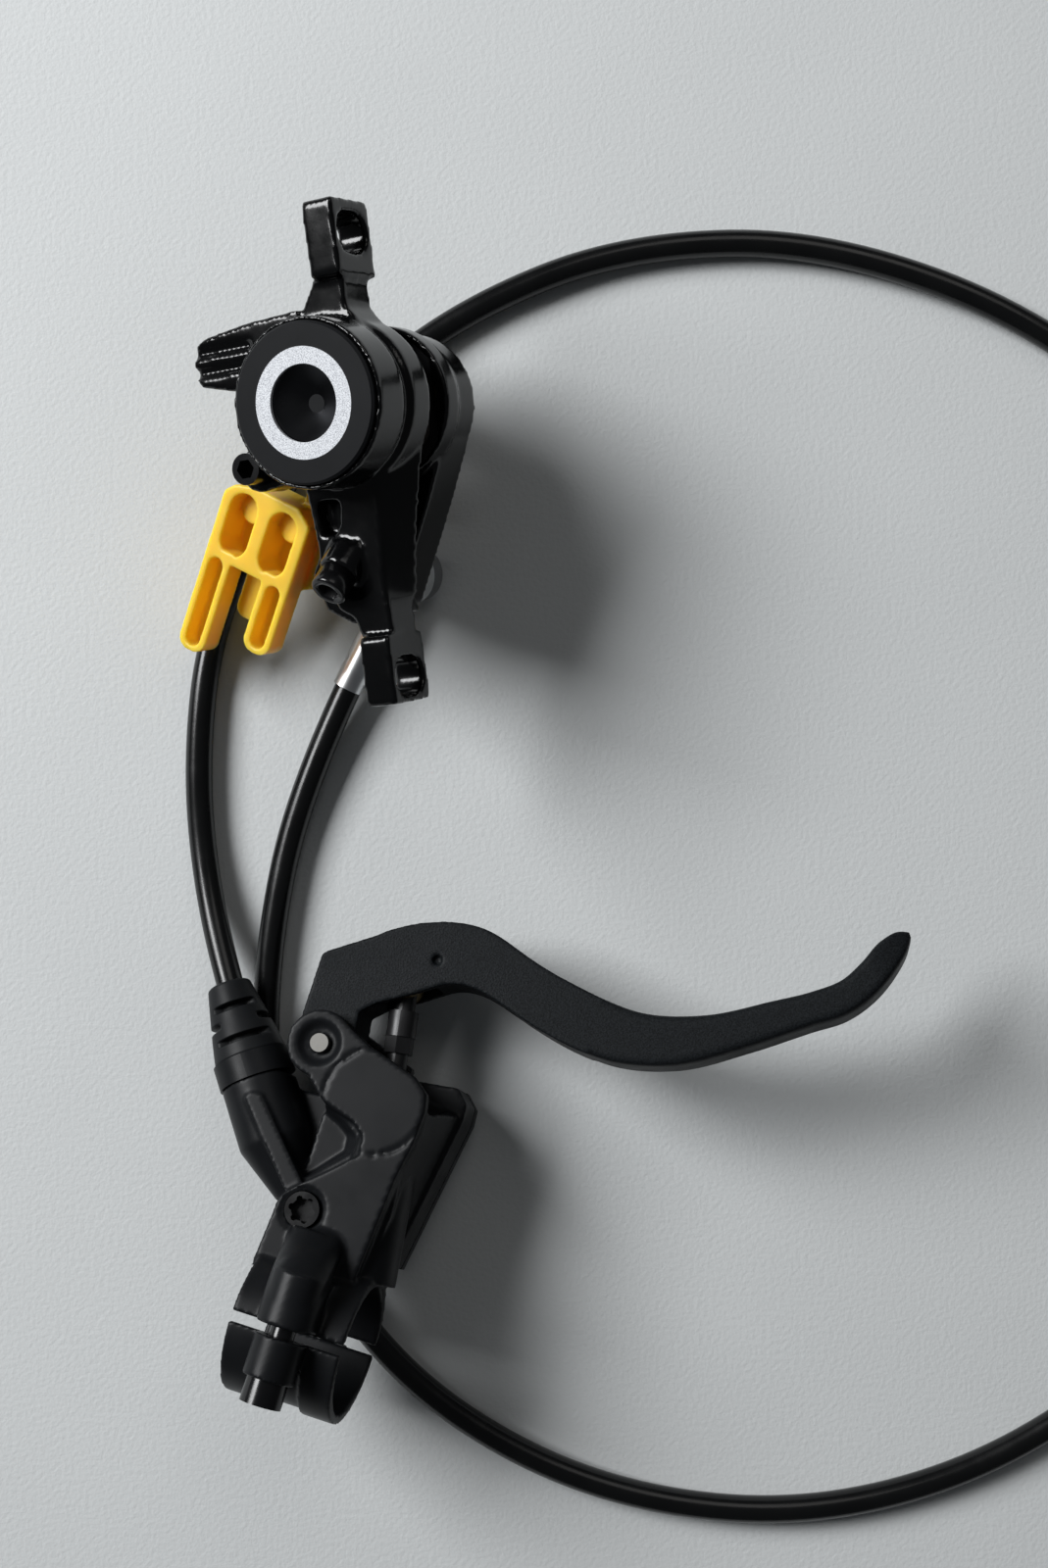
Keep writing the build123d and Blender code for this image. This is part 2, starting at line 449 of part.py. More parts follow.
with BuildPart(CALIPER) as banjo_fitting:
    with Locations((*BANJO_AT, EYE_BOTTOM)):
        Cylinder(EYE_R, EYE_THICK, align=BASE)
    with BuildSketch(Plane(origin=NECK_START, z_dir=EYE_CENTRE - NECK_START)):
        Circle(NECK_R)
    extrude(amount=(EYE_CENTRE - NECK_START).length - SEAL_WASHER_R - 2 * SEAT)
    with BuildSketch(Plane(origin=FERRULE_TOP, z_dir=FERRULE_DIR)):
        Circle(FERRULE_R - 0.4)
    extrude(amount=COLLAR_T)
    with Locations((*BANJO_AT, EYE_BOTTOM)):
        Cylinder(BANJO_SHANK_R + SEAT, EYE_THICK, align=BASE, mode=Mode.SUBTRACT)
write(banjo_fitting.part, "banjo_fitting")

with BuildPart(CALIPER) as banjo_seals:
    with Locations((*BANJO_AT, EYE_TOP), (*BANJO_AT, HEAD_TOP)):
        Cylinder(SEAL_WASHER_R, SEAL_WASHER_T, align=BASE)
        Cylinder(BANJO_SHANK_R + SEAT, SEAL_WASHER_T, align=BASE, mode=Mode.SUBTRACT)
write(banjo_seals.part, "banjo_seals")

with BuildPart(CALIPER) as banjo_bolt:
    with Locations((*BANJO_AT, HEAD_TOP)):
        Cylinder(BANJO_SHANK_R, FAR_BOTTOM + BANJO_REACH - HEAD_TOP, align=BASE)
        Cylinder(BANJO_HEAD_R, BANJO_HEAD_T, align=HANGING)
    head_rim = banjo_bolt.edges().filter_by(GeomType.CIRCLE).sort_by(PISTON_AXIS)[0]
    chamfer(head_rim, 0.5)
    with BuildSketch(CALIPER.offset(HEAD_TOP - BANJO_HEAD_T)):
        with Locations(BANJO_AT):
            RegularPolygon(BOLT_HEX + SEAT, 6)
    extrude(amount=BOLT_HEX_L, mode=Mode.SUBTRACT)
write(banjo_bolt.part, "banjo_bolt")

with BuildPart(FERRULE) as hose_ferrule:
    Cylinder(FERRULE_R, FERRULE_LENGTH, align=BASE)
    Cylinder(HOSE_D / 2, FERRULE_LENGTH - FERRULE_END_WALL, align=BASE, mode=Mode.SUBTRACT)
write(hose_ferrule.part, "hose_ferrule")

# Transport lock: its tongue keeps the pads apart while there is no rotor between them
LOCK_OUTLINE = [
    (LOCK_LEFT, LOCK_BOTTOM), (LOCK_LEFT, 1.6), (LOCK_LEFT + 1.7, 3.3), (LOCK_LEFT + 6.0, LOCK_TOP),
    (LOCK_RIGHT - 3.2, LOCK_TOP), (LOCK_RIGHT, 2.0), (LOCK_RIGHT, LOCK_BOTTOM),
]
LOCK_WALL = [(3.0, LOCK_TOP), (LOCK_RIGHT, 2.0), (LOCK_RIGHT + 1.2, -1.0), (LOCK_RIGHT + 1.2, -9.4), (6.0, -11.4), (3.0, -6.0)]
TONGUE = [
    (3.7, 1.0), (LOCK_RIGHT, 1.0), (9.4, 8.0), (15.5, 18.0), (15.5, 29.0), (5.0, 31.0), (3.7, 29.0),
]
with BuildPart() as transport_lock:
    with BuildSketch(LOCK.offset(LOCK_BACK)) as lock_body:
        with BuildLine():
            Polyline(*LOCK_OUTLINE, close=True)
        make_face()
        fillet(lock_body.vertices(), 1.2)
    extrude(amount=LOCK_FRONT - LOCK_BACK)
    # Side wall that widens towards the back
    with BuildSketch(LOCK.offset(LOCK_BACK)) as side_wall:
        with BuildLine():
            Polyline(*LOCK_WALL, close=True)
        make_face()
        fillet(side_wall.vertices(), 0.8)
    extrude(amount=LOCK_FLOOR + 2.2 - LOCK_BACK)
    with BuildSketch(LOCK.offset(LOCK_FRONT)):
        with Locations(*POCKETS_AT):
            SlotOverall(POCKET_L, POCKET_W, rotation=90)
    extrude(amount=LOCK_FLOOR - LOCK_FRONT, mode=Mode.SUBTRACT)
    for leg_x, leg_end in ((LOCK_LEFT + LEG_W / 2, LEFT_LEG_END), (LOCK_RIGHT - LEG_W / 2, RIGHT_LEG_END)):
        with BuildSketch(LOCK.offset(LEG_BACK)) as leg:
            with Locations((leg_x, (leg_end + LOCK_BOTTOM + 2) / 2)):
                Rectangle(LEG_W, LOCK_BOTTOM + 2 - leg_end)
            fillet(leg.vertices().group_by(Axis(LOCK.origin, LOCK.y_dir))[0], 2.2)
        extrude(amount=LOCK_FRONT - LEG_BACK)
        with BuildSketch(LOCK.offset(LOCK_FRONT)):
            with Locations((leg_x, (leg_end + LOCK_BOTTOM) / 2 + 0.6)):
                SlotOverall(LOCK_BOTTOM - leg_end - CHANNEL_WALL + 0.2, CHANNEL_W, rotation=90)
        extrude(amount=LEG_FLOOR - LOCK_FRONT, mode=Mode.SUBTRACT)
    with BuildSketch(LOCK.offset(LOCK_BACK)) as back_leg:
        with Locations((BACK_LEG_AT, (BACK_LEG_END + LOCK_BOTTOM + 2) / 2)):
            Rectangle(BACK_LEG_W, LOCK_BOTTOM + 2 - BACK_LEG_END)
        fillet(back_leg.vertices().group_by(Axis(LOCK.origin, LOCK.y_dir))[0], 2.0)
    extrude(amount=-LOCK_BACK - 0.6)
    with BuildSketch(LOCK.offset(-LOCK_TONGUE_T / 2)):
        with BuildLine():
            Polyline(*TONGUE, close=True)
        make_face()
    extrude(amount=LOCK_TONGUE_T)
write(transport_lock.part, "transport_lock")

# Outlines of the lever's housing
NEAR_PLATE = [
    (-3.0, 5.0), (2.0, 5.5), (8.4, 2.1), (18.2, -1.0), (21.4, -3.4), (22.0, -6.5), (21.6, -12.2), (20.4, -18.7),
    (18.6, -40.0), (0.4, -40.0), (1.4, -28.6), (2.2, -26.2), (5.3, -23.4), (12.8, -16.8), (12.5, -13.4),
    (10.0, -11.4), (4.4, -10.2), (-0.6, -5.6), (-3.6, -4.6),
]
FAR_EAR = [(-4.9, -3.0), (3.0, 4.9), (14.0, 1.0), (14.0, -10.0), (5.2, -10.9)]
BODY = [(4.8, -6.6), (20.5, -6.6), (21.0, -25.0), (19.0, -40.0), (0.2, -40.0), (0.6, -28.0), (3.0, -24.0), (3.0, -12.0)]
POCKET_FLOOR = [(2.4, -10.6), (6.3, -12.2), (9.2, -14.0), (9.5, -16.1), (4.8, -21.4), (2.4, -23.6)]
POCKET_MOUTH = [(2.4, -8.8), (10.0, -11.4), (12.5, -13.4), (12.8, -16.8), (5.3, -23.4), (2.4, -26.0)]
TANK = [(8.0, -1.6), (23.2, 0.0), (25.6, -2.4), (25.8, -5.4), (21.0, -33.6), (7.4, -34.0), (6.4, -24.0), (8.5, -12.0)]
FLANK_TOP = [(12.0, -6.6), (21.8, -6.6), (20.4, -20.0), (18.6, -40.0), (10.0, -40.0)]
FLANK_LOW = [(12.0, -2.0), (25.2, -4.6), (22.6, -20.0), (19.6, -40.0), (10.0, -40.0)]
TANK_ROOM = [(11.0, -6.0), (22.6, -5.2), (18.4, -28.2), (10.0, -28.2)]
WEB = [(-7.6, -8.6), (5.0, -8.0), (6.0, -24.0), (1.0, -29.0), (-7.0, -22.0), (-14.0, -13.0)]
CREST = [(-11.0, -12.2), (-7.8, -11.2), (4.4, -23.8), (1.8, -26.2)]
EAR_ROOM = [(-12.0, -6.4), (22.5, -6.4), (22.5, 12.0), (-12.0, 12.0)]

# Master cylinder housing: clevis ears, cylinder, tank, hose port and the bar's upper saddle
with BuildPart(LEVER) as master_housing:
    with BuildSketch(LEVER.offset(EAR_IN)):
        Circle(EAR_R)
        with BuildLine():
            Polyline(*NEAR_PLATE, close=True)
        make_face()
    extrude(amount=PLATE_TOP - EAR_IN)
    with BuildSketch(LEVER.offset(-EAR_OUT)):
        Circle(EAR_R)
        with BuildLine():
            Polyline(*FAR_EAR, close=True)
        make_face()
    extrude(amount=EAR_OUT - EAR_IN)
    with BuildSketch(LEVER.offset(TANK_BOTTOM + LID_T + 4)):
        with BuildLine():
            Polyline(*BODY, close=True)
        make_face()
    extrude(amount=EAR_IN - TANK_BOTTOM - LID_T - 4)
    with BuildSketch(LEVER.offset(TANK_BOTTOM + LID_T)):
        with BuildLine():
            Polyline(*TANK, close=True)
        make_face()
    extrude(amount=-EAR_IN - 0.2 - TANK_BOTTOM - LID_T)
    # Side wall that slopes out from the near plate to the tank
    for flank_z, flank in ((PLATE_TOP - 1.5, FLANK_TOP), (-EAR_IN - 2.0, FLANK_LOW)):
        with BuildSketch(LEVER.offset(flank_z)):
            with BuildLine():
                Polyline(*flank, close=True)
            make_face()
    loft()
    with BuildSketch(LEVER.offset(WEB_LOW)):
        with BuildLine():
            Polyline(*WEB, close=True)
        make_face()
    extrude(amount=WEB_TOP - WEB_LOW)
    # Pocket between the plate and the port, with walls that slope to a lip
    for pocket_z, pocket in ((POCKET_FLOOR_Z, POCKET_FLOOR), (PLATE_TOP + SEAT, POCKET_MOUTH)):
        with BuildSketch(LEVER.offset(pocket_z)):
            with BuildLine():
                Polyline(*pocket, close=True)
            make_face()
    loft(ruled=True, mode=Mode.SUBTRACT)
    # Hose port, tapering into the body, and the rib from it to the bleed screw
    with BuildSketch(PORT.offset(-PORT_LENGTH)):
        Circle(PORT_END_R)
    with BuildSketch(PORT.offset(-PORT_STRAIGHT)):
        Circle(PORT_R)
    loft()
    with BuildSketch(PORT.offset(-PORT_STRAIGHT)):
        Circle(PORT_R)
    extrude(amount=PORT_STRAIGHT)
    with BuildSketch(LEVER.offset(WEB_TOP)) as crest:
        with BuildLine():
            Polyline(*CREST, close=True)
        make_face()
        fillet(crest.vertices(), 0.8)
    extrude(amount=CREST_TOP - WEB_TOP)
    # Cylinder barrel, and the bolt towers that slope down to the plate
    with BuildSketch(BORE.offset(EAR_IN + 0.8)):
        Circle(BORE_R + BORE_WALL)
    extrude(amount=BORE_END - EAR_IN - 0.8 + BORE_COVER)
    for tower_side in (1, -1):
        tower = bolt_plane(tower_side, CLAMP_Y + CLAMP_GAP / 2, 1)
        with BuildSketch(tower):
            Circle(TOWER_R)
            with Locations((0, tower_side * TOWER_WEB / 2)):
                Rectangle(2 * TOWER_R, TOWER_WEB)
        extrude(amount=TOWER_L)
        with BuildSketch(tower.offset(TOWER_L)):
            Circle(TOWER_R)
        with BuildSketch(tower.offset(TOWER_L + TOWER_SLOPE)):
            with Locations((0, tower_side * TOWER_DROP)):
                Circle(TOWER_TOP_R)
        loft()
    # Saddle over the bar
    with BuildSketch(BAR):
        Circle(CLAMP_R)
        with BuildLine():
            Polyline((-CLAMP_R, 0), (CLAMP_R, 0), (PLATE_TOP, SADDLE_Z), (-12.0, SADDLE_Z), close=True)
        make_face()
    extrude(amount=CLAMP_X1 - CLAMP_X0)
    # The bar passes through, and the lower half of the ring is the separate clamp
    with BuildSketch(BAR.offset(-1)):
        Circle(BAR_R)
    extrude(amount=CLAMP_X1 - CLAMP_X0 + 2, mode=Mode.SUBTRACT)
    with BuildSketch(turned(LEVER, (CLAMP_MID, CLAMP_Y + CLAMP_GAP / 2, 0), (0, -1, 0), (1, 0, 0))):
        Rectangle(BEYOND, BEYOND)
    extrude(amount=BEYOND, mode=Mode.SUBTRACT)
    # Room between the ears for the blade and its push rod
    with BuildSketch(LEVER.offset(-EAR_IN)):
        with BuildLine():
            Polyline(*EAR_ROOM, close=True)
        make_face()
    extrude(amount=2 * EAR_IN, mode=Mode.SUBTRACT)
    with BuildSketch(BORE.offset(BORE_MOUTH)):
        Circle(BORE_R)
    extrude(amount=BORE_END - BORE_MOUTH, mode=Mode.SUBTRACT)
    # Pin hole with a bevelled recess in the near ear
    Cylinder(PIN_R, BEYOND, align=MIDDLE, mode=Mode.SUBTRACT)
    with Locations((0, 0, PLATE_TOP)):
        Cylinder(PIN_RECESS_R, PIN_RECESS_L, align=HANGING, mode=Mode.SUBTRACT)
        Cone(PIN_RECESS_R, PIN_BEVEL_R, PIN_BEVEL_R - PIN_RECESS_R, align=HANGING, mode=Mode.SUBTRACT)
    # Fine round line on the plate, and the room round the bleed screw
    with BuildSketch(LEVER.offset(PLATE_TOP)):
        with Locations(BADGE_AT):
            Circle(BADGE_R)
            Circle(BADGE_R - BADGE_LINE, mode=Mode.SUBTRACT)
    extrude(amount=-BADGE_DEPTH, mode=Mode.SUBTRACT)
    with Locations((*BLEED_SCREW_AT, PLATE_TOP - BADGE_DEPTH)):
        Cylinder(BLEED_SCREW_ROOM, BEYOND, align=BASE, mode=Mode.SUBTRACT)
    with Locations((*BLEED_SCREW_AT, PLATE_TOP - BLEED_SCREW_SUNK)):
        Cylinder(BLEED_SCREW_R + SEAT, BEYOND, align=BASE, mode=Mode.SUBTRACT)
    # Tank, open downwards under its lid
    with BuildSketch(LEVER.offset(TANK_BOTTOM + LID_T)) as tank_room:
        with BuildLine():
            Polyline(*TANK_ROOM, close=True)
        make_face()
        fillet(tank_room.vertices(), 1.5)
    extrude(amount=TANK_DEPTH, mode=Mode.SUBTRACT)
    # Hose port bore and the clamp bolts' threads
    with BuildSketch(PORT):
        Circle(HOSE_D / 2)
    extrude(amount=-PORT_BORE_L, mode=Mode.SUBTRACT)
    for bolt_side in (1, -1):
        with BuildSketch(bolt_plane(bolt_side, CLAMP_Y, 1)):
            Circle(BOLT_R)
        extrude(amount=BOLT_THREAD + 1.0, mode=Mode.SUBTRACT)
write(master_housing.part, "master_housing")

# Tank lid, its rubber membrane and its screws, on the underside
LID_SCREWS = [(10.2, -3.6), (23.2, -2.6), (19.0, -31.6), (9.2, -31.8)]
LID_SCREW_R, LID_SCREW_HEAD_R, LID_SCREW_HEAD_L = 0.9, 1.6, 1.2
MEMBRANE_T = 1.2
UNDER = turned(LEVER, (0, 0, TANK_BOTTOM), (0, 0, -1), (1, 0, 0))
with BuildPart(UNDER) as tank_lid:
    with BuildSketch(UNDER.offset(-LID_T)):
        with BuildLine():
            Polyline(*[(x, -y) for x, y in TANK], close=True)
        make_face()
    extrude(amount=LID_T)
    with Locations(*[(x, -y, 0) for x, y in LID_SCREWS]):
        Cylinder(LID_SCREW_HEAD_R, LID_SCREW_HEAD_L, align=HANGING, mode=Mode.SUBTRACT)
        Cylinder(LID_SCREW_R, LID_T, align=HANGING, mode=Mode.SUBTRACT)
write(tank_lid.part, "tank_lid")

with BuildPart(UNDER) as lid_screws:
    with Locations(*[(x, -y, 0) for x, y in LID_SCREWS]):
        Cylinder(LID_SCREW_HEAD_R, LID_SCREW_HEAD_L, align=HANGING)
        Cylinder(LID_SCREW_R, LID_T, align=HANGING)
write(lid_screws.part, "lid_screws")

with BuildPart() as tank_membrane:
    with BuildSketch(LEVER.offset(TANK_BOTTOM + LID_T)) as membrane_outline:
        with BuildLine():
            Polyline(*TANK_ROOM, close=True)
        make_face()
        fillet(membrane_outline.vertices(), 1.5)
        offset(amount=-SEAT)
    extrude(amount=MEMBRANE_T)
write(tank_membrane.part, "tank_membrane")

# Brake blade: a wide root on the pivot, a swept finger part and a hooked tip
BLADE_BEND, BLADE_HOOK, BLADE_NOSE, BLADE_PALM = (84.0, 34.2), (91.0, 46.4), (92.8, 44.0), (16.9, 15.7)
BLADE_SHOULDER, BLADE_HEEL = (4.2, 22.2), (5.2, 1.0)
BLADE_ROOT = [BLADE_HEEL, (-5.2, 1.0), (-5.6, 4.6), (-5.5, 15.4), (-4.6, 16.4), (2.6, 21.0), BLADE_SHOULDER]
BLADE_TOP = [
    BLADE_SHOULDER, (13.0, 26.6), (22.3, 27.6), (30.5, 25.0), (42.0, 22.0),
    (52.0, 20.9), (63.2, 23.4), (76.0, 30.0), BLADE_BEND,
]
BLADE_NECK = [BLADE_BEND, (86.2, 38.2), (88.5, 43.4), BLADE_HOOK]
BLADE_TIP = [BLADE_HOOK, (92.8, 46.0), BLADE_NOSE]
BLADE_UNDER = [
    BLADE_NOSE, (91.1, 38.4), (89.0, 32.6), (85.8, 28.8), (72.5, 20.2), (60.4, 13.4),
    (49.0, 11.2), (37.0, 12.9), (29.0, 15.4), (22.0, 17.0), BLADE_PALM,
]
BLADE_JAW = [BLADE_PALM, (12.6, 12.9), (6.9, 9.7), (4.4, 7.4), BLADE_HEEL]
ROD_POCKET = [(6.6, 4.0), (6.6, 17.2), (13.6, 18.6), (18.5, 12.0)]
with BuildPart(LEVER) as lever_blade:
    with BuildSketch(LEVER.offset(-BLADE_HALF)):
        with BuildLine():
            Polyline(*BLADE_ROOT)
            Spline(*BLADE_TOP)
            Spline(*BLADE_NECK)
            Spline(*BLADE_TIP)
            Spline(*BLADE_UNDER)
            Polyline(*BLADE_JAW)
        make_face()
        Circle(EAR_R - GAP)
    extrude(amount=2 * BLADE_HALF)
    # Pocket in the root for the push rod and its barrel
    with BuildSketch(LEVER.offset(-ROD_ROOM)):
        with BuildLine():
            Polyline(*ROD_POCKET, close=True)
        make_face()
    extrude(amount=2 * ROD_ROOM, mode=Mode.SUBTRACT)
    with Locations((*ROD_PIN_AT, 0)):
        Cylinder(ROD_BARREL_R + SEAT, ROD_BARREL_L + 2 * SEAT, align=MIDDLE, mode=Mode.SUBTRACT)
    Cylinder(BUSH_R, BEYOND, align=MIDDLE, mode=Mode.SUBTRACT)
    with Locations((*DIMPLE_AT, BLADE_HALF)):
        Cylinder(DIMPLE_R, DIMPLE_D, align=HANGING, mode=Mode.SUBTRACT)
write(lever_blade.part, "lever_blade")

with BuildPart(LEVER) as pivot_bushes:
    for bush_side in (1, -1):
        with Locations((0, 0, bush_side * (BLADE_HALF - BUSH_L / 2))):
            Cylinder(BUSH_R, BUSH_L, align=MIDDLE)
            Cylinder(PIN_R + FIT, BUSH_L, align=MIDDLE, mode=Mode.SUBTRACT)
write(pivot_bushes.part, "pivot_bushes")

with BuildPart(LEVER) as pivot_pin:
    Cylinder(PIN_R, 2 * PLATE_TOP, align=MIDDLE)
write(pivot_pin.part, "pivot_pin")

# Push rod: its barrel turns in the blade, its end sits in the piston's cup
ROD_FOOT = PISTON_TOP + PISTON_CUP_DEPTH - GAP  # from the bore's reference point to the rod's rounded foot
ROD_AIM_X = BORE_AT[0] + BORE_DIR[0] * ROD_FOOT - ROD_PIN_AT[0]
ROD_AIM_Y = BORE_AT[1] + BORE_DIR[1] * ROD_FOOT - ROD_PIN_AT[1]
ROD_REACH = (ROD_AIM_X**2 + ROD_AIM_Y**2) ** 0.5
ROD = turned(LEVER, (*ROD_PIN_AT, 0), (ROD_AIM_X, ROD_AIM_Y, 0), (0, 0, 1))
with BuildPart(ROD) as push_rod_barrel:
    Cylinder(ROD_BARREL_R, ROD_BARREL_L, rotation=(0, 90, 0), align=MIDDLE)
    Cylinder(ROD_R, BEYOND, align=MIDDLE, mode=Mode.SUBTRACT)
write(push_rod_barrel.part, "push_rod_barrel")

with BuildPart(ROD) as push_rod:
    with Locations((0, 0, -ROD_TAIL)):
        Cylinder(ROD_R, ROD_REACH + ROD_TAIL - ROD_R, align=BASE)
    with Locations((0, 0, ROD_REACH - ROD_R)):
        Sphere(ROD_R)
write(push_rod.part, "push_rod")

with BuildPart(ROD) as reach_adjuster:
    with Locations((0, 0, ADJUSTER_AT)):
        Cylinder(ADJUSTER_R, ADJUSTER_L, align=BASE)
    with BuildSketch(ROD.offset(ADJUSTER_AT + ADJUSTER_L)):
        RegularPolygon(ADJUSTER_R, 6)
    extrude(amount=ADJUSTER_HEX_L)
    with Locations((0, 0, ADJUSTER_AT)):
        Cylinder(ROD_R + FIT, ADJUSTER_L + ADJUSTER_HEX_L, align=BASE, mode=Mode.SUBTRACT)
write(reach_adjuster.part, "reach_adjuster")

# Master piston in its bore, with its seals, wiper and spring
with BuildPart(BORE) as master_piston:
    with Locations((0, 0, PISTON_TOP)):
        Cylinder(BORE_R - FIT, PISTON_BOTTOM - PISTON_TOP, align=BASE)
        Cylinder(PISTON_CUP_R, PISTON_CUP_DEPTH, align=BASE, mode=Mode.SUBTRACT)
    for groove_at in PISTON_GROOVES:
        with Locations((0, 0, groove_at)):
            Cylinder(BORE_R, PISTON_GROOVE_W, align=BASE, mode=Mode.SUBTRACT)
            Cylinder(BORE_R - PISTON_GROOVE_D, PISTON_GROOVE_W, align=BASE)
    with Locations((0, 0, PISTON_BOTTOM)):
        Cylinder(SPRING_R - SPRING_WIRE_R - 0.4, SPRING_POST_L, align=BASE)
write(master_piston.part, "master_piston")

with BuildPart(BORE) as master_piston_seals:
    for groove_at in PISTON_GROOVES:
        with Locations((0, 0, groove_at)):
            Cylinder(BORE_R - FIT / 2, PISTON_GROOVE_W, align=BASE)
            Cylinder(BORE_R - PISTON_GROOVE_D, PISTON_GROOVE_W, align=BASE, mode=Mode.SUBTRACT)
write(master_piston_seals.part, "master_piston_seals")

with BuildPart() as return_spring:
    with BuildLine() as coil:
        Helix(
            SPRING_PITCH,
            BORE_END - PISTON_BOTTOM - 2 * SPRING_WIRE_R - 2 * SEAT,
            SPRING_R,
            center=BORE.from_local_coords(Vector(0, 0, PISTON_BOTTOM + SPRING_WIRE_R + SEAT)),
            direction=BORE.z_dir,
        )
    with BuildSketch(Plane(origin=coil.line @ 0, z_dir=coil.line % 0)):
        Circle(SPRING_WIRE_R)
    sweep(is_frenet=True)
write(return_spring.part, "return_spring")

with BuildPart(BORE) as dust_wiper:
    with Locations((0, 0, WIPER_AT)):
        Cylinder(BORE_R, WIPER_T, align=BASE)
        Cylinder(WIPER_IN_R, WIPER_T, align=BASE, mode=Mode.SUBTRACT)
write(dust_wiper.part, "dust_wiper")

# Hose collar and rubber boot at the port
with BuildPart(PORT) as port_collar:
    Cylinder(COLLAR_R, COLLAR_L, align=BASE)
    Cylinder(HOSE_D / 2, COLLAR_L, align=BASE, mode=Mode.SUBTRACT)
write(port_collar.part, "port_collar")

with BuildPart(PORT) as hose_boot:
    with Locations((0, 0, COLLAR_L)):
        Cone(BOOT_BASE_R, BOOT_TIP_R, BOOT_L, align=BASE)
        Cylinder(HOSE_D / 2 + BOOT_GAP, BOOT_L, align=BASE, mode=Mode.SUBTRACT)
    # Slots round the boot that let it bend with the hose
    for slot_at, slot_angle in BOOT_SLOTS:
        with Locations(Location((0, 0, COLLAR_L + slot_at), (0, 0, slot_angle))):
            with Locations((BOOT_SLOT_FLOOR, 0, 0)):
                slot_align = (Align.MIN, Align.CENTER, Align.CENTER)
                Box(BOOT_BASE_R, BOOT_SLOT_W, BOOT_SLOT_H, align=slot_align, mode=Mode.SUBTRACT)
write(hose_boot.part, "hose_boot")

with BuildPart(LEVER) as lever_bleed_screw:
    with Locations((*BLEED_SCREW_AT, PLATE_TOP - BLEED_SCREW_SUNK)):
        Cylinder(BLEED_SCREW_R, BLEED_SCREW_SUNK + BLEED_SCREW_PROUD, align=BASE)
    with BuildSketch(LEVER.offset(PLATE_TOP + BLEED_SCREW_PROUD)):
        with Locations(BLEED_SCREW_AT):
            Circle(LOBE_R)
            with PolarLocations(LOBE_R, 6):
                Circle(LOBE_TIP_R)
    extrude(amount=-LOBE_L, mode=Mode.SUBTRACT)
write(lever_bleed_screw.part, "lever_bleed_screw")

# Lower half of the handlebar clamp and its two bolts
with BuildPart(LEVER) as bar_clamp:
    with BuildSketch(BAR):
        Circle(CLAMP_R)
    extrude(amount=CLAMP_X1 - CLAMP_X0)
    with BuildSketch(BAR.offset(CLAMP_RIM)):
        Circle(CLAMP_R)
        Circle(CLAMP_R - CLAMP_RELIEF, mode=Mode.SUBTRACT)
    extrude(amount=CLAMP_X1 - CLAMP_X0 - 2 * CLAMP_RIM, mode=Mode.SUBTRACT)
    for boss_side in (1, -1):
        with BuildSketch(bolt_plane(boss_side, CLAMP_Y - CLAMP_GAP / 2, -1)):
            Circle(BOLT_BOSS_R)
        extrude(amount=BOLT_BOSS_L)
    with BuildSketch(BAR.offset(-1)):
        Circle(BAR_R)
    extrude(amount=CLAMP_X1 - CLAMP_X0 + 2, mode=Mode.SUBTRACT)
    with BuildSketch(turned(LEVER, (CLAMP_MID, CLAMP_Y - CLAMP_GAP / 2, 0), (0, 1, 0), (1, 0, 0))):
        Rectangle(BEYOND, BEYOND)
    extrude(amount=BEYOND, mode=Mode.SUBTRACT)
    for bolt_side in (1, -1):
        with BuildSketch(bolt_plane(bolt_side, CLAMP_Y, -1)):
            Circle(BOLT_R + SEAT)
        extrude(amount=BOLT_BOSS_L + CLAMP_GAP, mode=Mode.SUBTRACT)
write(bar_clamp.part, "bar_clamp")

with BuildPart(LEVER) as clamp_bolts:
    for bolt_side in (1, -1):
        seat_y = CLAMP_Y - CLAMP_GAP / 2 - BOLT_BOSS_L
        with BuildSketch(bolt_plane(bolt_side, seat_y, 1)):
            Circle(BOLT_R)
        extrude(amount=CLAMP_Y + BOLT_THREAD - seat_y)
        with BuildSketch(bolt_plane(bolt_side, seat_y, -1)):
            Circle(BOLT_HEAD_R)
        extrude(amount=BOLT_HEAD_L)
        with BuildSketch(bolt_plane(bolt_side, seat_y - BOLT_HEAD_L, 1)):
            RegularPolygon(BOLT_HEX, 6)
        extrude(amount=BOLT_HEX_L, mode=Mode.SUBTRACT)
write(clamp_bolts.part, "clamp_bolts")

# Hose: one loop from the boot, under the caliper, round and back under the lever to the ferrule
HOSE_START = PORT.from_local_coords(Vector(0, 0, -0.6))
HOSE_TIP = PORT.from_local_coords(Vector(0, 0, COLLAR_L + BOOT_L + 1.0))
HOSE_END = FERRULE_END + FERRULE_DIR * (FERRULE_LENGTH - FERRULE_END_WALL - 2 * SEAT)
HOSE_ROUTE = [
    (-59.2, -15.8), (-60.6, 4.7), (-58.2, 27.6), (-48.4, 50.8), (-32.4, 71.4), (-10.7, 88.0), (18.5, 99.6),
    (55.9, 100.6), (98.3, 84.6), (134.5, 51.8), (154.0, 5.3), (153.1, -46.0), (132.0, -90.3), (96.4, -121.9),
    (56.7, -135.6), (17.3, -132.4), (-15.8, -116.0), (-37.1, -91.8), (-47.4, -62.1), (-48.0, -32.6),
]
hose_points = [HOSE_START, HOSE_TIP]
hose_points += [Vector(x - REST_X, y - REST_Y, HOSE_Z) for x, y in HOSE_ROUTE]
hose_points += [LAST_CORNER, HOSE_END]
hose_radii = []
for before, point, after in zip(hose_points, hose_points[1:], hose_points[2:]):
    turn = radians((point - before).get_angle(after - point))
    shorter = min((point - before).length, (after - point).length)
    hose_radii.append(0.45 * shorter / tan(turn / 2))
print("hose radii", [round(r, 1) for r in hose_radii])
